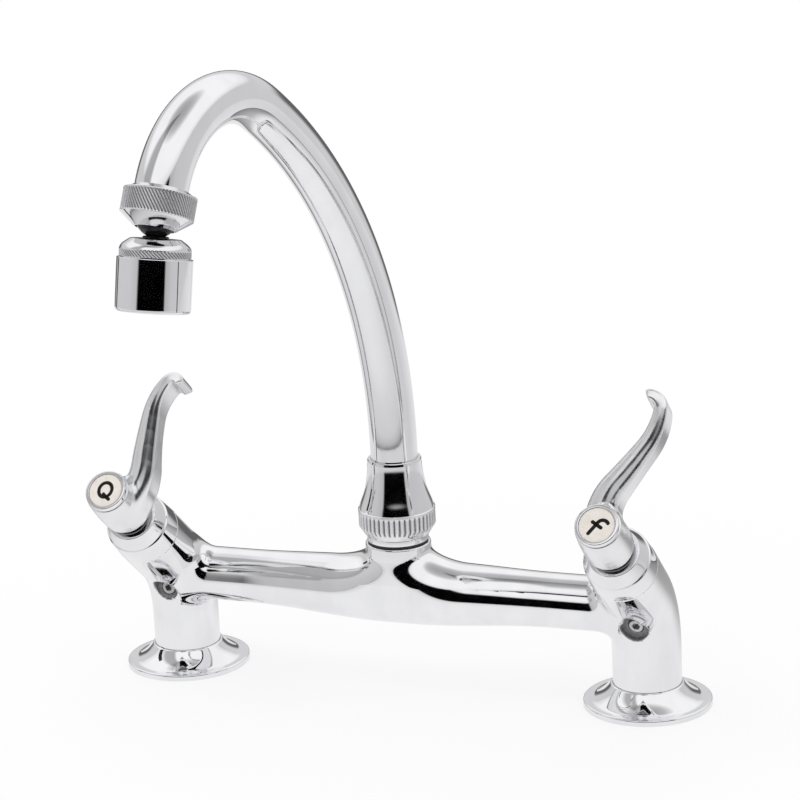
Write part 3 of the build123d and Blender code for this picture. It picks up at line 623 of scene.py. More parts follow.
def trunk_field(x, y, z):
    """Arms and hub as one T-shaped form: round about the nearer of the T's two strokes."""
    share = np.clip((ARM_SWELL_START - np.abs(x)) / ARM_SWELL_LENGTH, 0, 1)
    swell = share * share * (3 - 2 * share)
    radius = ARM_RADIUS + (ARM_MIDDLE_RADIUS - ARM_RADIUS) * swell
    above = z - ARM_HEIGHT
    grown = np.clip((above - HUB_STARTS) / HUB_GROWS, 0, 1)
    radius = radius + (HUB_RADIUS - radius) * grown
    beside_hub = np.hypot(x, np.minimum(above, 0))
    reach = np.where(above < 0, SHARP_MELT, np.interp(above, TONGUE_HEIGHTS, TONGUE_MELT))
    aside = np.maximum(melt(beside_hub, np.abs(above), reach), 0)
    skin = np.hypot(y + BRIDGE_FORWARD, aside) - radius
    skin = -melt(-skin, HUB_TOP - z, HUB_EDGE)
    return np.maximum(skin, np.abs(x) - ARM_END)


print("trunk and legs ready")

# %% [markdown]
# ### Pockets
# To join the waterways, a drill goes in at the front of each elbow, and a plug closes its hole.
# It leaves a pocket: a teardrop on the left, and on the right a round one with a channel, since
# the two sides are drilled at different angles. Each is a bar along its own leaning frame, ready
# to be carved out of the casting.

# %% Pockets
POCKET_ALONG, POCKET_BELOW, POCKET_LENGTH = 9.0, 12.1, 30
LEFT_POCKET_LEAN, RIGHT_POCKET_LEAN, CHANNEL_LEAN = (math.radians(a) for a in (36, 60, 22))
POCKET_RADIUS, RIGHT_POCKET_RADIUS, CHANNEL_RADIUS, CHANNEL_MELT = 4.8, 5.4, 3.3, 0.6
PLUG_RADIUS, PLUG_DRILLING, PLUG_REACH = 3.1, 11.5, 5


def pocket_frame(side, lean):
    """Frame on the pocket's floor; the drilling leans away from the valve axis."""
    valve = valve_frame(side)
    axis = valve.to_3x3().col[2]
    below = -valve.to_3x3().col[1]
    origin = valve.translation + axis * POCKET_ALONG + below * POCKET_BELOW
    return frame_matrix(origin, (1, 0, 0), axis * math.cos(lean) + below * math.sin(lean))


def pocket_field(x, y, z, side):
    """Teardrop pocket on the left; round pocket with a channel above it on the right."""
    if side < 0:
        place = pocket_frame(side, LEFT_POCKET_LEAN)
        hollow = bar(x, y, z, place, POCKET_RADIUS, 0, POCKET_LENGTH)
    else:
        place = pocket_frame(side, RIGHT_POCKET_LEAN)
        channel = pocket_frame(side, CHANNEL_LEAN)
        hollow = melt(bar(x, y, z, place, RIGHT_POCKET_RADIUS, 0, POCKET_LENGTH),
                      bar(x, y, z, channel, CHANNEL_RADIUS, 0, POCKET_LENGTH), CHANNEL_MELT)
    return hollow, bar(x, y, z, place, PLUG_RADIUS, -PLUG_DRILLING, PLUG_REACH)


print("pockets ready")

# %% [markdown]
# ### The finished casting
# Trunk and legs melt together, and the bores and pockets are carved out. The depth of each
# point in the pockets is kept as an attribute of the mesh, and the chrome reads it to paint
# shade inside them.

# %% Bridge casting
HUB_BORE, HUB_BORE_DEPTH, HUB_BORE_ABOVE = 9.5, 11, 9
INLET_RADIUS, INLET_DEPTH = 9.3155, 14.0
LEG_WATERWAY, WATERWAY_TOP, BELOW_COUNTER = 6.0, VALVE_HEIGHT - 13, -10
BORE_EDGE, POCKET_EDGE, FINE_EDGE = 0.4, 0.7, 0.3
# Painted shade inside the pockets: where it starts and the depth over which it grows to full
POCKET_SHADE_START, POCKET_SHADE_DEPTH = 0.1, 0.5
BRIDGE_BOX = (-118, -48, -2.1), (118, 17, 80)


def bridge_field(x, y, z):
    """The whole casting: trunk and legs melted together, then bored and drilled."""
    body = melt(trunk_field(x, y, z), leg_field(x, y, z), LEG_MELT)
    thread = bar(x, y, z, hub_frame, HUB_BORE, HUB_TOP - HUB_BORE_DEPTH,
                 HUB_TOP + HUB_BORE_ABOVE)
    body = carve(body, thread, FINE_EDGE)
    for side in (-1, 1):
        foot = Matrix.Translation((side * INLET_X, 0, 0))
        for radius, top in ((INLET_RADIUS, INLET_DEPTH), (LEG_WATERWAY, WATERWAY_TOP)):
            body = carve(body, bar(x, y, z, foot, radius, BELOW_COUNTER, top), BORE_EDGE)
        hollow, drilling = pocket_field(x, y, z, side)
        body = carve(carve(body, hollow, POCKET_EDGE), drilling, FINE_EDGE)
    return body


BRIDGE_STEP = 0.75
bridge_mesh = skin_mesh("bridge_casting", *skin_of(bridge_field, *BRIDGE_BOX, BRIDGE_STEP))


def mark_pocket_shade(mesh):
    """Marks the walls of the pockets, where the finish paints shade."""
    spots = np.array([v.co for v in mesh.vertices]) / MM
    pocket_shade = np.zeros(len(spots))
    for side in (-1, 1):
        hollow, drilling = pocket_field(*spots.T, side)
        deep = np.clip(1 - (np.minimum(hollow, drilling) + POCKET_SHADE_START) / POCKET_SHADE_DEPTH, 0, 1)
        pocket_shade = np.maximum(pocket_shade, deep)
    attribute = mesh.attributes.new("pocket_shade", "FLOAT", "POINT")
    attribute.data.foreach_set("value", pocket_shade.astype(np.float32))
    return int((pocket_shade > 0.5).sum())


print("dull points:", mark_pocket_shade(bridge_mesh))
keep("bridge_casting", bridge_mesh, "bridge", cast_chrome, ["bridge_body"])

# %% [markdown]
# ## The gooseneck
# The spout is a drawn tube bent on two formers: a long easy arc and then the tight crook. A ring
# of points is carried along that centreline. It has no seam and needs no rounding except at its
# ends, where the wall is closed inwards.

# %% Gooseneck
SPOUT_RADIUS, SPOUT_WALL = 9.525, 1.0
TUBE_FOOT, TUBE_SEGMENTS, BEND_STEPS = 79.6, 96, 72


def spout_stations():
    """Places and directions along the gooseneck's centreline, as (reach, height, angle)."""
    stations = [(0.0, h, 0.0) for h in np.linspace(TUBE_FOOT, SPOUT_STRAIGHT, 8)[:-1]]
    for angle in np.linspace(0, RISE_ANGLE, BEND_STEPS)[:-1]:
        stations.append((RISE_RADIUS * (1 - math.cos(angle)),
                         SPOUT_STRAIGHT + RISE_RADIUS * math.sin(angle), angle))
    reach = RISE_RADIUS * (1 - math.cos(RISE_ANGLE)) + CROOK_RADIUS * math.cos(RISE_ANGLE)
    height = SPOUT_STRAIGHT + (RISE_RADIUS - CROOK_RADIUS) * math.sin(RISE_ANGLE)
    for angle in np.linspace(RISE_ANGLE, RISE_ANGLE + CROOK_ANGLE, BEND_STEPS):
        stations.append((reach - CROOK_RADIUS * math.cos(angle),
                         height + CROOK_RADIUS * math.sin(angle), angle))
    return stations


def spout_mesh():
    """Tube with rings of points up its outside and back down its inside."""
    outside = [(station, SPOUT_RADIUS) for station in spout_stations()]
    inside = [(station, SPOUT_RADIUS - SPOUT_WALL) for station in reversed(spout_stations())]
    points = []
    for (reach, height, angle), radius in outside + inside:
        centre = spout_point(reach, height)
        side = spout_outward() * math.cos(angle) - Vector((0, 0, math.sin(angle)))
        for step in range(TUBE_SEGMENTS):
            turn = 2 * math.pi * step / TUBE_SEGMENTS
            points.append(centre + side * radius * math.cos(turn)
                          + spout_across() * radius * math.sin(turn))
    rings = len(points) // TUBE_SEGMENTS
    faces = []
    for ring in range(rings):
        here, there = ring * TUBE_SEGMENTS, (ring + 1) % rings * TUBE_SEGMENTS
        for step in range(TUBE_SEGMENTS):
            after = (step + 1) % TUBE_SEGMENTS
            faces.append((here + step, there + step, there + after, here + after))
    return mesh_from("gooseneck", points, faces, sharp=50)


keep("gooseneck", spout_mesh(), "spout", chrome, ["spout_tube"])
print("gooseneck made")

# %% [markdown]
# ## The base flanges
# Each leg stands in a moulded flange that hides the hole in the counter. It is turned from one
# profile: a flat rim, a hollow valley and a dome that climbs to the leg. A lathe suits it, with
# the corners of the profile rounded, because in chrome the small radii carry the bright lines.

# %% Base flanges
FLANGE_RADIUS, FLANGE_RIM, FLANGE_HEIGHT = 26.0, 2.4, 9.2
FLANGE_LEDGE, FLANGE_HOLE = (24.0, FLANGE_RIM), 14.0
VALLEY, VALLEY_SLOPE = (21.0, 3.05), (-0.9, 0.55)
SHOULDER = (14.9, 8.9)


def flange_profile():
    """Up the rim, over the valley and the dome, and back underneath."""
    outside = round_corners([(FLANGE_RADIUS, 0), (FLANGE_RADIUS, FLANGE_RIM, 0.8), FLANGE_LEDGE])
    valley = ease(FLANGE_LEDGE, VALLEY, (-1, -0.02), VALLEY_SLOPE, 12)
    dome = ease(VALLEY, SHOULDER, VALLEY_SLOPE, (-0.62, 0.8), 30)
    crown = ease(SHOULDER, (FLANGE_HOLE, FLANGE_HEIGHT), (-0.6, 0.8), (-1, 0.05), 6)
    under = [(FLANGE_HOLE, 6.6), (16.5, 6.6), (19.6, 1.2), (24.4, 1.2), (24.4, 0.0)]
    return outside + valley[1:] + dome[1:] + crown[1:] + under


for side, name in SIDES:
    keep_turned(name + "_flange_form", flange_profile(), Matrix.Translation((side * INLET_X, 0, 0)),
                224, 55, "bridge", chrome, [name + "_base_flange"])
print("flange profile:", len(flange_profile()), "points")

# %% [markdown]
# ## The skirts
# Under each handle a thin trim shell hides the valve's hexagon: a barrel, a soft shoulder, a cone
# and a narrow neck. It is another lathe form. The neck stands in the shade between the cone and
# the handle, and that shade is painted: the neck is a ring of its own with a dark finish.

# %% Skirts
SKIRT_FOOT, SKIRT_SHOULDER, SKIRT_NOSE, SKIRT_TOP = 41.4, 50.6, 57.6, 59.3
CONE_FOOT, CONE_TOP = (12.55, 51.6), (10.35, SKIRT_NOSE - 0.35)
NECK_RADIUS, NECK_BORE, NECK_FOOT = 8.8, 6.6, 56.5


def skirt_profile():
    """Up the barrel, shoulder and cone, and back down inside the thin shell."""
    barrel = [(13.8, SKIRT_FOOT), (13.3, SKIRT_SHOULDER)]
    shoulder = ease(barrel[-1], CONE_FOOT, (-0.05, 1), (-0.55, 1), 8)
    cone = ease(CONE_FOOT, CONE_TOP, (-0.4, 1), (-0.42, 1), 18)
    lip = ease(CONE_TOP, (9.7, SKIRT_NOSE), (-0.42, 1), (-1, 0.02), 6)
    inside = [(8.7, SKIRT_NOSE), (8.7, 56.6), (NECK_BORE, 56.6), (NECK_BORE, 55.3),
              (7.8, 55.2), (12.1, 49.6), (12.6, SKIRT_FOOT)]
    return barrel + shoulder[1:] + cone[1:] + lip[1:] + inside


def neck_profile():
    """Ring that stands out of the skirt's nose."""
    return round_corners([(NECK_RADIUS, NECK_FOOT), (NECK_RADIUS, SKIRT_TOP, 0.3),
                          (NECK_BORE, SKIRT_TOP)]) + [(NECK_BORE, NECK_FOOT)]


for side, name in SIDES:
    valve = valve_frame(side)
    keep_turned(name + "_skirt_form", skirt_profile(), valve, 200, 50, "bridge", chrome,
                [name + "_skirt"])
    # The neck's dark finish is painted shade.
    keep_turned(name + "_skirt_neck", neck_profile(), valve, 128, 40, "bridge", dark_chrome)
print("skirt profile:", len(skirt_profile()), "points")

# %% [markdown]
# ## The levers
# The two handles are one casting pattern and its mirror image: a turned barrel with an arm that
# leaves it in an S-curve and ends in a small hook. The arm's section is a rounded bar that gets
# thinner, with a low roof of two facets on its front that meet in a fine ridge. Drawing such a
# form with patches of surface is hard work, so it is a field again: distance to the bent bar,
# melted into the barrel. This is the piece of the whole faucet that takes the most skill.

# %% Lever bar
LEVER_START, LEVER_HEADING = (-2.34, 3.0), math.radians(-4.0)
LEVER_RUNS = ((17.04, 48.0), (17.04, -5.0), (14.2, -35.0), (8.52, -114.0))
LEVER_LENGTH = sum(run[0] for run in LEVER_RUNS)
LEVER_RISE = (67.3, 82.9, 91.9)
LEVER_WIDTH, LEVER_THICKNESS = (15.1, 8.9, 11.9), (13.0, 9.0, 3.6)
LEVER_CORNER, LEVER_ROOF = 0.24, 0.5
RIDGE_HEIGHT, RIDGE_WIDTH = 0.25, 0.75
ROOF_ENDS, ROOF_FADE = 0.86, 0.2


def between(values, share):
    """Value along the lever through three given ones, with the middle eased."""
    return sum(np.interp(share + shift, (0, 0.5, 1), values) * weight
               for shift, weight in ((-0.1, 0.25), (0, 0.5), (0.1, 0.25)))


def along_lever(x, y):
    """Nearest place on the lever's centreline: share of its length, across, and past its end."""
    spot, heading, done = Vector(LEVER_START), LEVER_HEADING, 0.0
    best = None
    for length, turn in LEVER_RUNS:
        radius = length / math.radians(turn)
        centre = spot + radius * Vector((math.cos(heading), -math.sin(heading)))
        sign = math.copysign(1, radius)
        angle = np.arctan2(sign * (y - centre.y), -sign * (x - centre.x))
        middle = heading + math.radians(turn) / 2
        angle = middle + (angle - middle + math.pi) % (2 * math.pi) - math.pi
        angle = np.clip(angle, min(heading, heading + math.radians(turn)),
                        max(heading, heading + math.radians(turn)))
        near_x = centre.x - radius * np.cos(angle)
        near_y = centre.y + radius * np.sin(angle)
        gap = np.hypot(x - near_x, y - near_y)
        share = (done + (angle - heading) * radius) / LEVER_LENGTH
        across = (x - near_x) * np.cos(angle) - (y - near_y) * np.sin(angle)
        past = (x - near_x) * np.sin(angle) + (y - near_y) * np.cos(angle)
        found = (gap, share, across, past)
        if best is None:
            best = found
        else:
            closer = gap < best[0]
            best = tuple(np.where(closer, new, old) for new, old in zip(found, best))
        end = heading + math.radians(turn)
        spot = centre + radius * Vector((-math.cos(end), math.sin(end)))
        heading, done = end, done + length
    return best[1:]


def lever_bar(x, y, z):
    """The bent bar: rounded section, thinner towards the hook, with a roof on its front."""
    share, across, past = along_lever(x, y)
    half_thick = between(LEVER_THICKNESS, share) / 2
    half_wide = between(LEVER_WIDTH, share) / 2
    start, middle, end = LEVER_RISE
    rise = (start * (1 - share) * (1 - 2 * share) + 4 * middle * share * (1 - share)
            + end * share * (2 * share - 1))
    corner = LEVER_CORNER * 2 * np.minimum(half_thick, half_wide)
    fade = np.clip((ROOF_ENDS - share) / ROOF_FADE, 0, 1)
    roof = LEVER_ROOF * fade * np.abs(across) / half_thick
    roof = roof - RIDGE_HEIGHT * fade * np.exp(-(across / RIDGE_WIDTH) ** 2)
    up = z - rise
    top = up - (half_wide - roof)
    high = np.maximum(top, -up - half_wide) + corner
    side = np.abs(across) - half_thick + corner
    over = np.maximum(past - (1 - share) * LEVER_LENGTH, -past - share * LEVER_LENGTH) + corner
    outside = np.sqrt(np.maximum(high, 0) ** 2 + np.maximum(side, 0) ** 2
                      + np.maximum(over, 0) ** 2)
    return outside + np.minimum(np.maximum(np.maximum(high, side), over), 0) - corner


print("lever:", round(LEVER_LENGTH, 1), "mm along its bends")

# %% [markdown]
# ### Barrel and bar together
# The barrel is turned, so its field is only a radius that changes with height. The bar melts
# into it with a fillet. From the front the barrel is opened for the cap and the screw, and from
# the back for the spindle that the handle turns.

# %% Lever form
BARREL_HEIGHTS = (60.3, 62.3, 63.2, 66.0, 70.0, 76.0, 82.5)
BARREL_RADII, BARREL_EDGE = (8.6, 8.6, 9.55, 9.68, 9.7, 9.45, 8.9), 0.8
HUB_BACK, HUB_FRONT = BARREL_HEIGHTS[0], BARREL_HEIGHTS[-1]
LEVER_MELT, LEVER_EDGE = 3.2, 0.2
CAP_HOLE, CAP_HOLE_FLOOR = 6.5, 72.0
SPINDLE_HOLE, SPINDLE_HOLE_TOP, SCREW_HOLE = 4.2, 70.0, 1.7
LEVER_BOX = (-14, -12, 59.0), (32, 58, 99)


def barrel_field(x, y, z):
    """Turned hub of the handle, a little slimmer at its neck and its front."""
    skin = np.hypot(x, y) - np.interp(z, BARREL_HEIGHTS, BARREL_RADII)
    return -melt(-skin, -np.maximum(HUB_BACK - z, z - HUB_FRONT), BARREL_EDGE)


def lever_field(x, y, z):
    """Bar and barrel melted together, less the screw's pocket, the spindle's and the hole."""
    form = melt(lever_bar(x, y, z), barrel_field(x, y, z), LEVER_MELT)
    reach = np.hypot(x, y)
    for hole in (np.maximum(reach - CAP_HOLE, CAP_HOLE_FLOOR - z),
                 np.maximum(reach - SPINDLE_HOLE, z - SPINDLE_HOLE_TOP), reach - SCREW_HOLE):
        form = carve(form, hole, LEVER_EDGE)
    return form


LEVER_STEP = 0.5
lever_skin = skin_of(lever_field, *LEVER_BOX, LEVER_STEP)
print("lever top at", round(lever_skin[0][:, 2].max(), 1))

# %% [markdown]
# ### Left and right
# The right lever is the form as drawn. The left one is its mirror image, turned round its valve,
# so its points are flipped in x and its faces are wound the other way to keep them outwards.

# %% Levers in place
HANDLE_TURN = math.radians(48.2)


def place_lever(side, name):
    """Sets the form on its valve; the left one is mirrored first, then turned."""
    points, faces, normals = lever_skin
    matrix = valve_frame(side)
    if side < 0:
        flip = np.array((-1, 1, 1))
        points, normals, faces = points * flip, normals * flip, faces[:, ::-1]
        matrix = matrix @ Matrix.Rotation(-HANDLE_TURN, 4, "Z")
    mesh = skin_mesh(name + "_lever_form", points, faces, normals, matrix)
    keep(name + "_lever_form", mesh, name + "_handle", lever_chrome, [name + "_lever"])


for side, name in SIDES:
    place_lever(side, name)

# %% [markdown]
# ## The index caps
# A small turned cap closes each handle and holds a cream disc. Both are lathe forms. The cap's
# edge is rounded more than any other, because a finger touches it at every use, and the disc
# lies a little below the rim, which protects its letter.

# %% Index caps
CAP_FOOT, CAP_RADIUS, CAP_TOP = 82.5, 8.45, 84.75
CAP_WELL, DISC_FOOT, DISC_RADIUS, DISC_TOP = 7.0, 83.6, 6.9, 84.4
PLUG_FOOT, PLUG_INSIDE, PLUG_OUTSIDE = 76.6, 5.4, 6.4


def cap_profile():
    """Up the outside, over a soft edge, down to the disc and back down the inner plug."""
    return round_corners([(7.9, CAP_FOOT), (CAP_RADIUS, CAP_FOOT, 0.25),
                          (CAP_RADIUS, CAP_TOP, 0.85), (CAP_WELL, CAP_TOP, 0.2),
                          (CAP_WELL, DISC_FOOT, 0.1), (PLUG_INSIDE, DISC_FOOT),
                          (PLUG_INSIDE, PLUG_FOOT), (PLUG_OUTSIDE, PLUG_FOOT),
                          (PLUG_OUTSIDE, CAP_FOOT)])


def disc_profile():
    """Flat disc with a soft edge, closed on the axis."""
    return round_corners([(0, DISC_FOOT), (DISC_RADIUS, DISC_FOOT),
                          (DISC_RADIUS, DISC_TOP, 0.15), (0, DISC_TOP)])


def keep_cap(side, name):
    """Cap and disc of one handle, turned on its valve's axis."""
    valve, body = valve_frame(side), name + "_handle"
    keep_turned(name + "_cap_form", cap_profile(), valve, 160, 50, body, chrome,
                [name + "_index_cap"])
    keep_turned(name + "_disc_form", disc_profile(), valve, 128, 40, body, index_cream,
                [name + "_index_disc"])


print("cap profile:", len(cap_profile()), "points")

# %% [markdown]
# ### The letters
# Each disc carries one letter, for hot on the left and cold on the right. It is drawn as strokes
# of even width, as an engraver would: a path and a pen. A pen stroke is a closed ribbon along
# the path with round ends, so the paint has a thickness and stays sharp from near by.

# %% Letters
PEN_WIDTH, PEN_HEIGHT, PEN_BED = 1.45, 0.03, 0.1
END_TRIM, END_STEPS, LETTER_SHARP = 0.3, 7, 30
HOT_STROKES = [arc((0, 0.2), 3.1, -52, 308, 40, 0.9), [(-0.3, -1.6), (0.9, -2.6), (2.6, -3.5)]]
COLD_STROKES = [[(-0.4, -4.4), (-0.2, 1.0)] + arc((2.1, 1.0), 2.3, 180, 62, 14),
                [(-2.0, 0.1), (2.1, 0.1)]]
LETTERS = {-1: ("q", HOT_STROKES, math.radians(-4.0)), 1: ("f", COLD_STROKES, math.radians(-31.0))}


def pen_stroke(path, width, height):
    """Flat ribbon along a path, with round ends, standing a little proud of the disc."""
    path = [Vector(p) for p in path]
    left, right = [], []
    for index, here in enumerate(path):
        run = (path[min(index + 1, len(path) - 1)] - path[max(index - 1, 0)]).normalized()
        side = Vector((-run.y, run.x)) * width / 2
        left.append(here + side)
        right.append(here - side)
    ends = []
    for here, start in ((path[-1], left[-1]), (path[0], right[0])):
        angle = math.atan2((start - here).y, (start - here).x)
        ends.append([here + Vector((math.cos(angle - t), math.sin(angle - t))) * width / 2
                     for t in np.linspace(END_TRIM, math.pi - END_TRIM, END_STEPS)])
    levels = (DISC_TOP - PEN_BED, DISC_TOP + height)
    points = [(p.x, p.y, level) for level in levels for p in left + right]
    faces = []
    count = len(path)
    up = 2 * count
    for i in range(count - 1):
        a, b, c, d = i, i + 1, count + i + 1, count + i
        faces += [(a + up, d + up, c + up, b + up), (a, b, c, d),
                  (a, a + up, b + up, b), (d, c, c + up, d + up)]
    for end, first, second in ((ends[0], count - 1, 2 * count - 1), (ends[1], count, 0)):
        base = len(points)
        points += [(p.x, p.y, level) for level in levels for p in end]
        low = [first] + [base + i for i in range(len(end))] + [second]
        high = [first + up] + [base + len(end) + i for i in range(len(end))] + [second + up]
        faces += [tuple(low), tuple(reversed(high))]
        faces += [(low[i + 1], low[i], high[i], high[i + 1]) for i in range(len(low) - 1)]
    return points, faces


def letter_mesh(name, strokes, place):
    """Raised letter, one closed ribbon for each stroke."""
    points, faces = [], []
    for path in strokes:
        more_points, more_faces = pen_stroke(path, PEN_WIDTH, PEN_HEIGHT)
        faces += [[i + len(points) for i in face] for face in more_faces]
        points += more_points
    mesh = mesh_from(name, points, faces, place, LETTER_SHARP)
    shape = bmesh.new()
    shape.from_mesh(mesh)
    bmesh.ops.recalc_face_normals(shape, faces=shape.faces)
    shape.to_mesh(mesh)
    shape.free()
    return mesh


for side, name in SIDES:
    keep_cap(side, name)
    letter, strokes, turn = LETTERS[side]
    piece = name + "_letter_" + letter
    place = valve_frame(side) @ Matrix.Rotation(turn, 4, "Z")
    keep(piece, letter_mesh(piece, strokes, place), name + "_handle", letter_black)
    print(piece, "in", len(strokes), "strokes")

# %% [markdown]
# ## Knurls and flutes with Geometry Nodes
# The fluted band of the spout nut and the grips of the outlet nut and the collar are one idea:
# teeth that repeat round a turned band. One node tree presses them into any turned mesh. It
# works out the angle of each point, winds it with height where the teeth slant, and moves the
# point inwards between the teeth. It also marks the grooves, where the chrome paints shade.
# Outside the band nothing moves.

# %% Knurl tree
KNURL_SIZES = {"Teeth": 40.0, "Depth": 0.4, "Lean": 0.0, "Low": 0.0, "High": 1.0, "Runout": 0.5,
               "Skin": 1.0, "Sharpness": 1.0, "Shade": 1.5}
KNURL_SHARP = math.radians(38)


def make_knurl_tree():
    """Tree that presses teeth into a turned band, and its named inputs' identifiers."""
    tree = bpy.data.node_groups.new("pressed_teeth", "GeometryNodeTree")
    tree.interface.new_socket("Form", in_out="INPUT", socket_type="NodeSocketGeometry")
    names = {}
    for name, value in KNURL_SIZES.items():
        socket = tree.interface.new_socket(name, in_out="INPUT", socket_type="NodeSocketFloat")
        socket.default_value = value
        names[name] = socket.identifier
    socket = tree.interface.new_socket("Finish", in_out="INPUT", socket_type="NodeSocketMaterial")
    names["Finish"] = socket.identifier
    tree.interface.new_socket("Form", in_out="OUTPUT", socket_type="NodeSocketGeometry")
    given = tree.nodes.new("NodeGroupInput").outputs
    calc = partial(math_node, tree)
    place = add_node(tree, "GeometryNodeInputPosition").outputs[0]
    x, y, z = add_node(tree, "ShaderNodeSeparateXYZ", {0: place}).outputs
    wound = calc("SUBTRACT", calc("ARCTAN2", y, x), calc("MULTIPLY", z, given["Lean"]))
    turns = calc("DIVIDE", calc("MULTIPLY", wound, given["Teeth"]), 2 * math.pi)
    valley = calc("ABSOLUTE", calc("SUBTRACT", calc("MULTIPLY", calc("FRACT", turns), 2.0), 1.0))
    press = calc("POWER", valley, given["Sharpness"])
    reach = calc("SQRT", calc("ADD", calc("MULTIPLY", x, x), calc("MULTIPLY", y, y)))
    start = soft_step(tree, z, given["Low"], calc("ADD", given["Low"], given["Runout"]))
    stop = soft_step(tree, z, calc("SUBTRACT", given["High"], given["Runout"]), given["High"])
    band = calc("MULTIPLY", calc("MULTIPLY", start, calc("SUBTRACT", 1.0, stop)),
                calc("GREATER_THAN", reach, given["Skin"]))
    amount = calc("MULTIPLY", calc("MULTIPLY", press, given["Depth"]), band)
    inwards = calc("DIVIDE", calc("MULTIPLY", amount, -1.0), reach)
    move = add_node(tree, "ShaderNodeCombineXYZ", {"X": calc("MULTIPLY", x, inwards),
                                                   "Y": calc("MULTIPLY", y, inwards)})
    # Painted shade: the deeper a point is pressed, the darker the chrome draws it.
    shade = calc("MULTIPLY", calc("POWER", press, given["Shade"]), band)
    marked = add_node(tree, "GeometryNodeStoreNamedAttribute",
                      {"Geometry": given["Form"], "Name": "groove", "Value": shade},
                      data_type="FLOAT", domain="POINT")
    pressed = add_node(tree, "GeometryNodeSetPosition",
                       {"Geometry": marked.outputs["Geometry"], "Offset": move.outputs[0]})
    real = add_node(tree, "GeometryNodeRealizeInstances", {0: pressed.outputs[0]})
    painted = add_node(tree, "GeometryNodeSetMaterial",
                       {"Geometry": real.outputs[0], "Material": given["Finish"]})
    add_node(tree, "NodeGroupOutput", {0: painted.outputs[0]})
    return tree, names


knurl_tree, knurl_inputs = make_knurl_tree()


def keep_knurled(name, profile, place, segments, body, replaced, **sizes):
    """Turned piece with pressed teeth; sizes are the tree's named inputs, in millimetres."""
    form = lathe(name, profile, None, segments)
    form.transform(Matrix.Scale(1 / MM, 4))
    blank = put(name + "_blank", form)
    modifier = blank.modifiers.new("teeth", "NODES")
    modifier.node_group = knurl_tree
    for label, value in (*sizes.items(), ("Finish", grip_chrome)):
        modifier[knurl_inputs[label]] = value
    graph = bpy.context.evaluated_depsgraph_get()
    mesh = bpy.data.meshes.new_from_object(blank.evaluated_get(graph))
    bpy.data.objects.remove(blank)
    mesh.transform(Matrix.Scale(MM, 4) @ place)
    mesh.name = name
    mesh.shade_smooth()
    mesh.set_sharp_from_angle(angle=KNURL_SHARP)
    keep(name, mesh, body, grip_chrome, replaced)


print("knurl tree:", len(knurl_tree.nodes), "nodes")

# %% [markdown]
# ## The spout nut and its collar
# The gooseneck turns in a fluted nut: a band with 44 flutes, a bead, and a bell that draws in to
# the tube. The bell's line is drawn with eased curves. Below it the plain collar of the hub's
# nipple shows.

# %% Spout nut
NIPPLE_TOP, NIPPLE_RADIUS = 67.0, 12.5
RING_FOOT, RING_TOP, RING_INSIDE, RING_OUTSIDE = 63.5, 64.5, 11.4, 12.3
FLUTES, BAND_RADIUS, BAND_ROWS = 44, 15.6, 12


def bell_profile():
    """Heights are above the nipple: chamfer, fluted band, bead, bell, throat, neck and bore."""
    chamfer = [(13.0 + 2.4 * t, 3.6 * t) for t in np.linspace(0, 0.92, 8)]
    foot = round_corners([(13.0, 0), (BAND_RADIUS, 3.9, 0.5), (BAND_RADIUS, 4.4)])[1:-1]
    rows = [(BAND_RADIUS, h) for h in np.linspace(4.5, 9.7, BAND_ROWS)]
    top = round_corners([(BAND_RADIUS, 9.8), (BAND_RADIUS, 10.2, 0.15), (15.3, 10.3)])[1:]
    bead = arc((15.25, 10.6), 0.42, -75, 80, 8)
    bell = ease((15.2, 11.1), (13.35, 16.6), (-0.22, 1), (-0.36, 1), 16)
    throat = ease((13.35, 16.6), (11.7, 23.0), (-0.36, 1), (-0.17, 1), 16)
    neck = ease((11.7, 23.0), (10.95, 31.5), (-0.17, 1), (-0.02, 1), 10)
    bore = [(10.75, 31.85), (10.3, 31.9), (9.6, 31.9), (9.6, 14.6), (11.7, 14.6), (11.7, 0)]
    line = chamfer + foot + rows + top + bead + bell + throat[1:] + neck[1:] + bore
    return [(p[0], p[1] + NIPPLE_TOP) for p in line]


keep_knurled("spout_nut_bell", bell_profile(), hub_frame, FLUTES * 10, "bridge", ["spout_nut"],
             Teeth=FLUTES, Depth=0.75, Lean=0.0, Low=69.0, High=77.25, Runout=0.9, Skin=12.5,
             Sharpness=1.6)


def nipple_profile():
    """Plug in the hub, groove for the black ring, collar, and the sleeve inside the nut."""
    return round_corners([(9.4, 52.5), (9.4, RING_FOOT), (RING_INSIDE, RING_FOOT),
                          (RING_INSIDE, RING_TOP), (NIPPLE_RADIUS, RING_TOP, 0.3),
                          (NIPPLE_RADIUS, NIPPLE_TOP, 0.3), (11.6, NIPPLE_TOP),
                          (11.6, 76.0, 0.2), (7.7, 76.0), (7.7, 52.5)])


def ring_profile():
    """Black rubber ring in the groove between hub and collar, which also paints the gap's dark
    shadow line.
    """
    return round_corners([(RING_INSIDE, RING_FOOT), (RING_OUTSIDE, RING_FOOT, 0.2),
                          (RING_OUTSIDE, RING_TOP, 0.2), (RING_INSIDE, RING_TOP)])


keep_turned("nipple_collar", nipple_profile(), hub_frame, 160, 40, "bridge", chrome,
            ["hub_nipple"])
# The black ring stands for a joint ring and paints the dark shadow line between hub and collar.
keep_turned("hub_ring_and_gap_shade", ring_profile(), hub_frame, 128, 40, "bridge", rubber)
print("bell profile:", len(bell_profile()), "points")

# %% [markdown]
# ## The ball joint and the aerator
# At the outlet a knurled nut holds a ball, so the aerator can be pointed anywhere in the sink.
# Every piece is turned; the nut's grip and the collar's band get slanted teeth from the knurl
# tree. The ball is black and glossy, with a bored stem that screws into the flared collar.

# %% Ball joint
OUTLET_TEETH, OUTLET_RADIUS, OUTLET_INSIDE = 66, 13.0, 11.5
SEAT_RADIUS, BALL_RADIUS, STEM_RADIUS, STEM_BORE = 7.85, 7.8, 3.6, 2.0


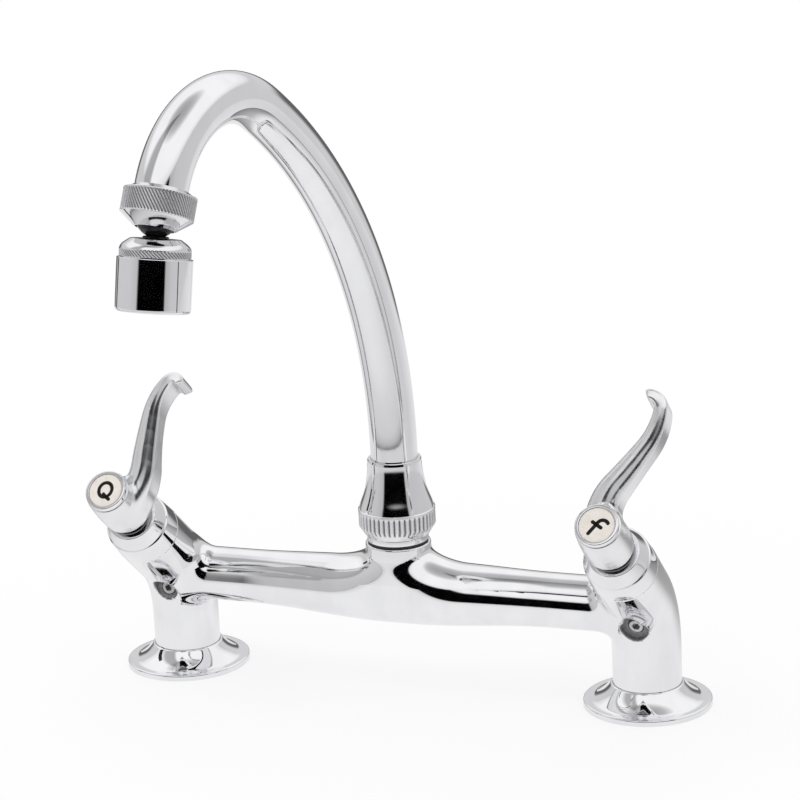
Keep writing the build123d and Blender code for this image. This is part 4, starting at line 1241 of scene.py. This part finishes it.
def outlet_nut_profile():
    """Up the gripped band, over the cone to its mouth, and back down the ball's seat."""
    foot = round_corners([(11.2, 1.5), (OUTLET_RADIUS, 1.5, 0.35), (OUTLET_RADIUS, 2.4)])
    rows = [(OUTLET_RADIUS, h) for h in np.linspace(2.4, 9.2, 16)]
    cone = round_corners([(OUTLET_RADIUS, 9.4), (OUTLET_RADIUS, 10.0, 0.35), (7.35, 14.3, 0.3),
                          (6.85, 14.3)])
    seat = [(math.sqrt(SEAT_RADIUS ** 2 - (h - BALL_CENTRE) ** 2), h)
            for h in np.linspace(13.3, BALL_CENTRE, 8)]
    return foot + rows[1:] + cone + seat + [(SEAT_RADIUS, 8.1), (OUTLET_INSIDE, 8.0),
                                            (OUTLET_INSIDE, 1.6)]


def ball_profile():
    """The ball, its short collar, the stem, and the bore back through all of them."""
    return arc((0, 0), BALL_RADIUS, -74, 66, 48) + [
        (3.15, 7.13), (4.2, 7.13), (4.65, 7.4), (4.65, 7.8), (4.4, 8.0), (STEM_RADIUS, 8.0),
        (STEM_RADIUS, 12.0), (STEM_BORE, 12.0), (STEM_BORE, -7.4)]


outlet, aerator = outlet_frame(), aerator_frame()
keep_knurled("outlet_nut_grip", outlet_nut_profile(), outlet, OUTLET_TEETH * 10, "spout",
             ["outlet_nut"], Teeth=OUTLET_TEETH, Depth=0.6, Lean=-0.055, Low=1.9, High=9.9,
             Runout=0.3, Skin=12.2, Sharpness=1.5, Shade=0.6)
keep_turned("black_ball", ball_profile(), aerator, 128, 40, "aerator", ball_black,
            ["swivel_ball"])
print("ball joint made")

# %% [markdown]
# ### The aerator
# The collar flares out from the ball's stem to the width of the aerator and ends in a band of
# slanted teeth. The shell below it is a plain sleeve with a rounded foot, which shows best how
# clean the chrome is.

# %% Aerator
COLLAR_TEETH, COLLAR_RADIUS, COLLAR_THREAD = 60, 12.6, 11.8
SHELL_TOP, SHELL_MOUTH, SHELL_RADIUS, SHELL_BORE, SHELL_LIP = 14.6, 33.4, 13.3, 12.0, 10.0


def collar_profile():
    """Flare and gripped band, then the thread that the shell screws on, and the bore."""
    flare = ease((9.0, 8.05), (COLLAR_RADIUS, 12.0), (1, 0.75), (0.12, 1), 20)
    rows = [(COLLAR_RADIUS, h) for h in np.linspace(12.15, 14.1, 8)]
    thread = [(12.5, 14.3), (COLLAR_THREAD, 14.4), (COLLAR_THREAD, 19.4)]
    bore = [(9.3, 19.4), (9.3, 14.4), (3.75, 12.1)]
    return [(3.75, 8.0), (8.8, 8.0)] + flare + rows + thread + bore


def shell_profile():
    """Plain sleeve with a rounded mouth that turns in under the insert."""
    return round_corners([(SHELL_BORE, SHELL_TOP), (SHELL_RADIUS, SHELL_TOP, 0.45),
                          (SHELL_RADIUS, SHELL_MOUTH, 1.5), (SHELL_LIP, SHELL_MOUTH, 0.4),
                          (SHELL_LIP, SHELL_MOUTH - 1.6, 0.2),
                          (SHELL_BORE, SHELL_MOUTH - 1.6)], 8)


keep_knurled("collar_flare", collar_profile(), aerator, COLLAR_TEETH * 10, "aerator",
             ["aerator_collar"], Teeth=COLLAR_TEETH, Depth=0.5, Lean=-0.09, Low=11.9, High=14.35,
             Runout=0.3, Skin=12.0, Sharpness=1.5, Shade=0.6)
keep_turned("aerator_sleeve", shell_profile(), aerator, 224, 50, "aerator", chrome,
            ["aerator_shell"])
print("shell profile:", len(shell_profile()), "points")

# %% [markdown]
# ## Floor and light
# The faucet stands on a plain pale table in a light tent. Chrome has no colour of its own and
# only shows what stands round it, so what it mirrors is drawn with care: first a bright table
# that falls off with distance. The Light Path node tells a mirrored ray from a seen one. Seen
# straight, the table is plain white and only keeps the faucet's soft shadow.

# %% Table
TABLE_SIZE, TABLE_CORNERS = 0.33, 96
TABLE_GREY, TABLE_ROUGH = (0.84, 0.84, 0.84, 1), 0.6
TABLE_SHADE, TABLE_SHADE_AMOUNT, SHADOW_KEPT = (0.03, 0.13), 0.55, 0.22
TABLE_FALLOFF = [(0.0, 0.95), (0.5, 0.88), (0.7, 0.74), (0.9, 0.66), (0.96, 0.5), (1.0, 0.1)]
SHADOW_FADE = [(0.0, 0.0), (0.35, 0.0), (0.9, 1.0)]
WHITE, BLACK = (1, 1, 1, 1), (0, 0, 0, 1)


def make_table():
    """Round white table top; in the chrome it darkens towards its edge and its back."""
    ring = [(TABLE_SIZE * math.cos(a), TABLE_SIZE * math.sin(a), 0)
            for a in np.linspace(0, 2 * math.pi, TABLE_CORNERS, endpoint=False)]
    mesh = bpy.data.meshes.new("table")
    mesh.from_pydata(ring, [], [tuple(range(TABLE_CORNERS))])
    material, tree, shader = new_material("pale_table")
    shader.inputs["Base Color"].default_value = TABLE_GREY
    shader.inputs["Roughness"].default_value = TABLE_ROUGH
    calc = partial(math_node, tree)
    place = add_node(tree, "ShaderNodeTexCoord").outputs["Object"]
    reach = add_node(tree, "ShaderNodeVectorMath", {0: place}, operation="LENGTH")
    share = calc("DIVIDE", reach.outputs["Value"], TABLE_SIZE)
    back = add_node(tree, "ShaderNodeSeparateXYZ", {0: place}).outputs["Y"]
    behind = calc("MULTIPLY", soft_step(tree, back, *TABLE_SHADE), TABLE_SHADE_AMOUNT)
    shown = mixed(tree, behind, ramp(tree, share, TABLE_FALLOFF), BLACK)
    rays = add_node(tree, "ShaderNodeLightPath").outputs
    colour = mixed(tree, rays["Is Camera Ray"], shown, WHITE)
    glow = add_node(tree, "ShaderNodeEmission", {"Color": colour})
    seen = calc("MAXIMUM", rays["Is Camera Ray"], rays["Is Glossy Ray"])
    near = calc("SUBTRACT", 1.0, ramp(tree, share, SHADOW_FADE))
    strength = calc("MULTIPLY", seen, calc("SUBTRACT", 1.0, calc("MULTIPLY", near, SHADOW_KEPT)))
    mix = add_node(tree, "ShaderNodeMixShader",
                   {"Fac": strength, 1: shader.outputs[0], 2: glow.outputs[0]})
    feed(tree, tree.nodes["Material Output"].inputs["Surface"], mix.outputs[0])
    mesh.materials.append(material)
    put("table", mesh)


make_table()
print("table", TABLE_SIZE, "m")

# %% [markdown]
# ### The tent
# The tent is the world's own colour, set by direction. One ramp goes round below table height,
# and one goes round just above it, with a dark opening at the front where the camera stands. The
# opening draws the black strips on the upright pieces and the dark line along the arms. Higher
# up the tent is bright, and grey again overhead, with a greyer panel on the left. Low behind the
# faucet it is dark, which gives the base flanges their dark sides.

# %% Tent
OPENING = math.radians(-68.8)
BELOW_STOPS = [(0.0, 0.85), (0.2, 0.8), (0.33, 0.7), (0.45, 0.72), (0.6, 0.7), (0.75, 0.66),
               (0.86, 0.8), (1.0, 0.85)]
LOW_STOPS = [(0.0, 0.7), (0.13, 0.66), (0.3, 0.64), (0.365, 0.55), (0.38, 0.0), (0.6, 0.0),
             (0.608, 0.48), (0.66, 0.6), (1.0, 0.7)]
BACK_STOPS = [(0.0, 1.0), (0.09, 1.0), (0.13, 0.0), (0.87, 0.0), (0.91, 1.0), (1.0, 1.0)]
LEFT_STOPS = [(0.0, 1.0), (0.23, 1.0), (0.27, 0.47), (0.35, 0.44), (0.375, 1.0), (1.0, 1.0)]
ABOVE_STOPS = [(0.0, 0.7), (0.4, 0.8), (0.57, 1.0), (0.88, 1.0), (0.95, 0.55), (1.0, 0.4)]
RIM, BACK_TOP, OPENING_TOP = (-0.21, -0.17), (0.08, 0.22), (0.38, 0.46)
BACK_GREY = (0.13, 0.13, 0.13, 1)


def make_tent():
    """World whose colour goes by direction in the chrome and is white for all other rays."""
    world = bpy.data.worlds.new("tent")
    bpy.context.scene.world = world
    world.use_nodes = True
    tree = world.node_tree
    calc = partial(math_node, tree)
    place = add_node(tree, "ShaderNodeTexCoord").outputs["Generated"]
    split = add_node(tree, "ShaderNodeSeparateXYZ", {0: place}).outputs
    angle = calc("ARCTAN2", split["Y"], split["X"])
    turned = calc("SUBTRACT", angle, OPENING - math.pi)
    share = calc("FRACT", calc("DIVIDE", turned, 2 * math.pi))
    height = split["Z"]
    above_rim = soft_step(tree, height, *RIM)
    high = mixed(tree, 1.0, ramp(tree, height, ABOVE_STOPS), ramp(tree, share, LEFT_STOPS),
                 blend="MULTIPLY")
    lower = mixed(tree, above_rim, ramp(tree, share, BELOW_STOPS), ramp(tree, share, LOW_STOPS))
    open_tent = mixed(tree, soft_step(tree, height, *OPENING_TOP), lower, high)
    low = calc("MULTIPLY", above_rim, calc("SUBTRACT", 1.0, soft_step(tree, height, *BACK_TOP)))
    behind = calc("MULTIPLY", low, ramp(tree, share, BACK_STOPS))
    tent = mixed(tree, behind, open_tent, BACK_GREY)
    glossy = add_node(tree, "ShaderNodeLightPath").outputs["Is Glossy Ray"]
    background = tree.nodes["Background"]
    feed(tree, background.inputs["Color"], mixed(tree, glossy, WHITE, tent))
    background.inputs["Strength"].default_value = 1.0


make_tent()
print("tent ready")

# %% [markdown]
# ### Black cards
# A photographer of chrome stands thin black cards on end beside the object. They are out of the
# picture, but each draws a fine dark line down the upright pieces and gives them their roundness.
# Here they are single faces that only mirrored rays can see.

# %% Black cards
CARD_HEIGHT, CARD_BLACK, CARD_ROUGH = 0.22, (0.01, 0.01, 0.01, 1), 0.9
CARDS = (("right_flag", math.radians(48), 0.30, 0.020),
         ("left_flag", math.radians(-101), 0.32, 0.040))


def black_card(name, round_about, reach, width):
    """Thin black card on end, seen only in the chrome."""
    out = Vector((math.cos(OPENING + round_about), math.sin(OPENING + round_about), 0))
    along = Vector((-out.y, out.x, 0)) * width / 2
    foot, top = out * reach, Vector((0, 0, CARD_HEIGHT))
    mesh = bpy.data.meshes.new(name)
    mesh.from_pydata([foot - along, foot + along, foot + along + top, foot - along + top],
                     [], [(0, 1, 2, 3)])
    card = put(name, mesh)
    card.visible_camera = card.visible_diffuse = card.visible_shadow = False
    material, tree, shader = new_material(name)
    shader.inputs["Base Color"].default_value = CARD_BLACK
    shader.inputs["Roughness"].default_value = CARD_ROUGH
    mesh.materials.append(material)


for card in CARDS:
    black_card(*card)
print("cards:", len(CARDS))

# %% [markdown]
# ### Lamps
# Two soft square lamps light what is not metal: the letters, the discs, the rubber and the
# table with its shadow. The chrome does not show them, because a lamp's square mirror image
# would draw hard white patches that the photograph does not have.

# %% Lamps
LAMP_SIZE, LAMP_AIM = 0.5, Vector((0, 0, 0.1))
LAMPS = (("key_light", (-0.9, -0.5, 1.5), 5.0), ("fill_light", (1.3, -0.3, 1.1), 2.0))


def soft_box(name, place, power):
    """Square area lamp aimed at the middle of the faucet, and unseen in the chrome."""
    data = bpy.data.lights.new(name, "AREA")
    data.size, data.energy = LAMP_SIZE, power
    lamp = put(name, data)
    lamp.location = place
    lamp.visible_glossy = False
    lamp.rotation_mode = "QUATERNION"
    lamp.rotation_quaternion = (LAMP_AIM - Vector(place)).to_track_quat("-Z", "Y")


for lamp in LAMPS:
    soft_box(*lamp)
bpy.context.scene.view_settings.view_transform = "Standard"
print("lamps:", len(LAMPS))
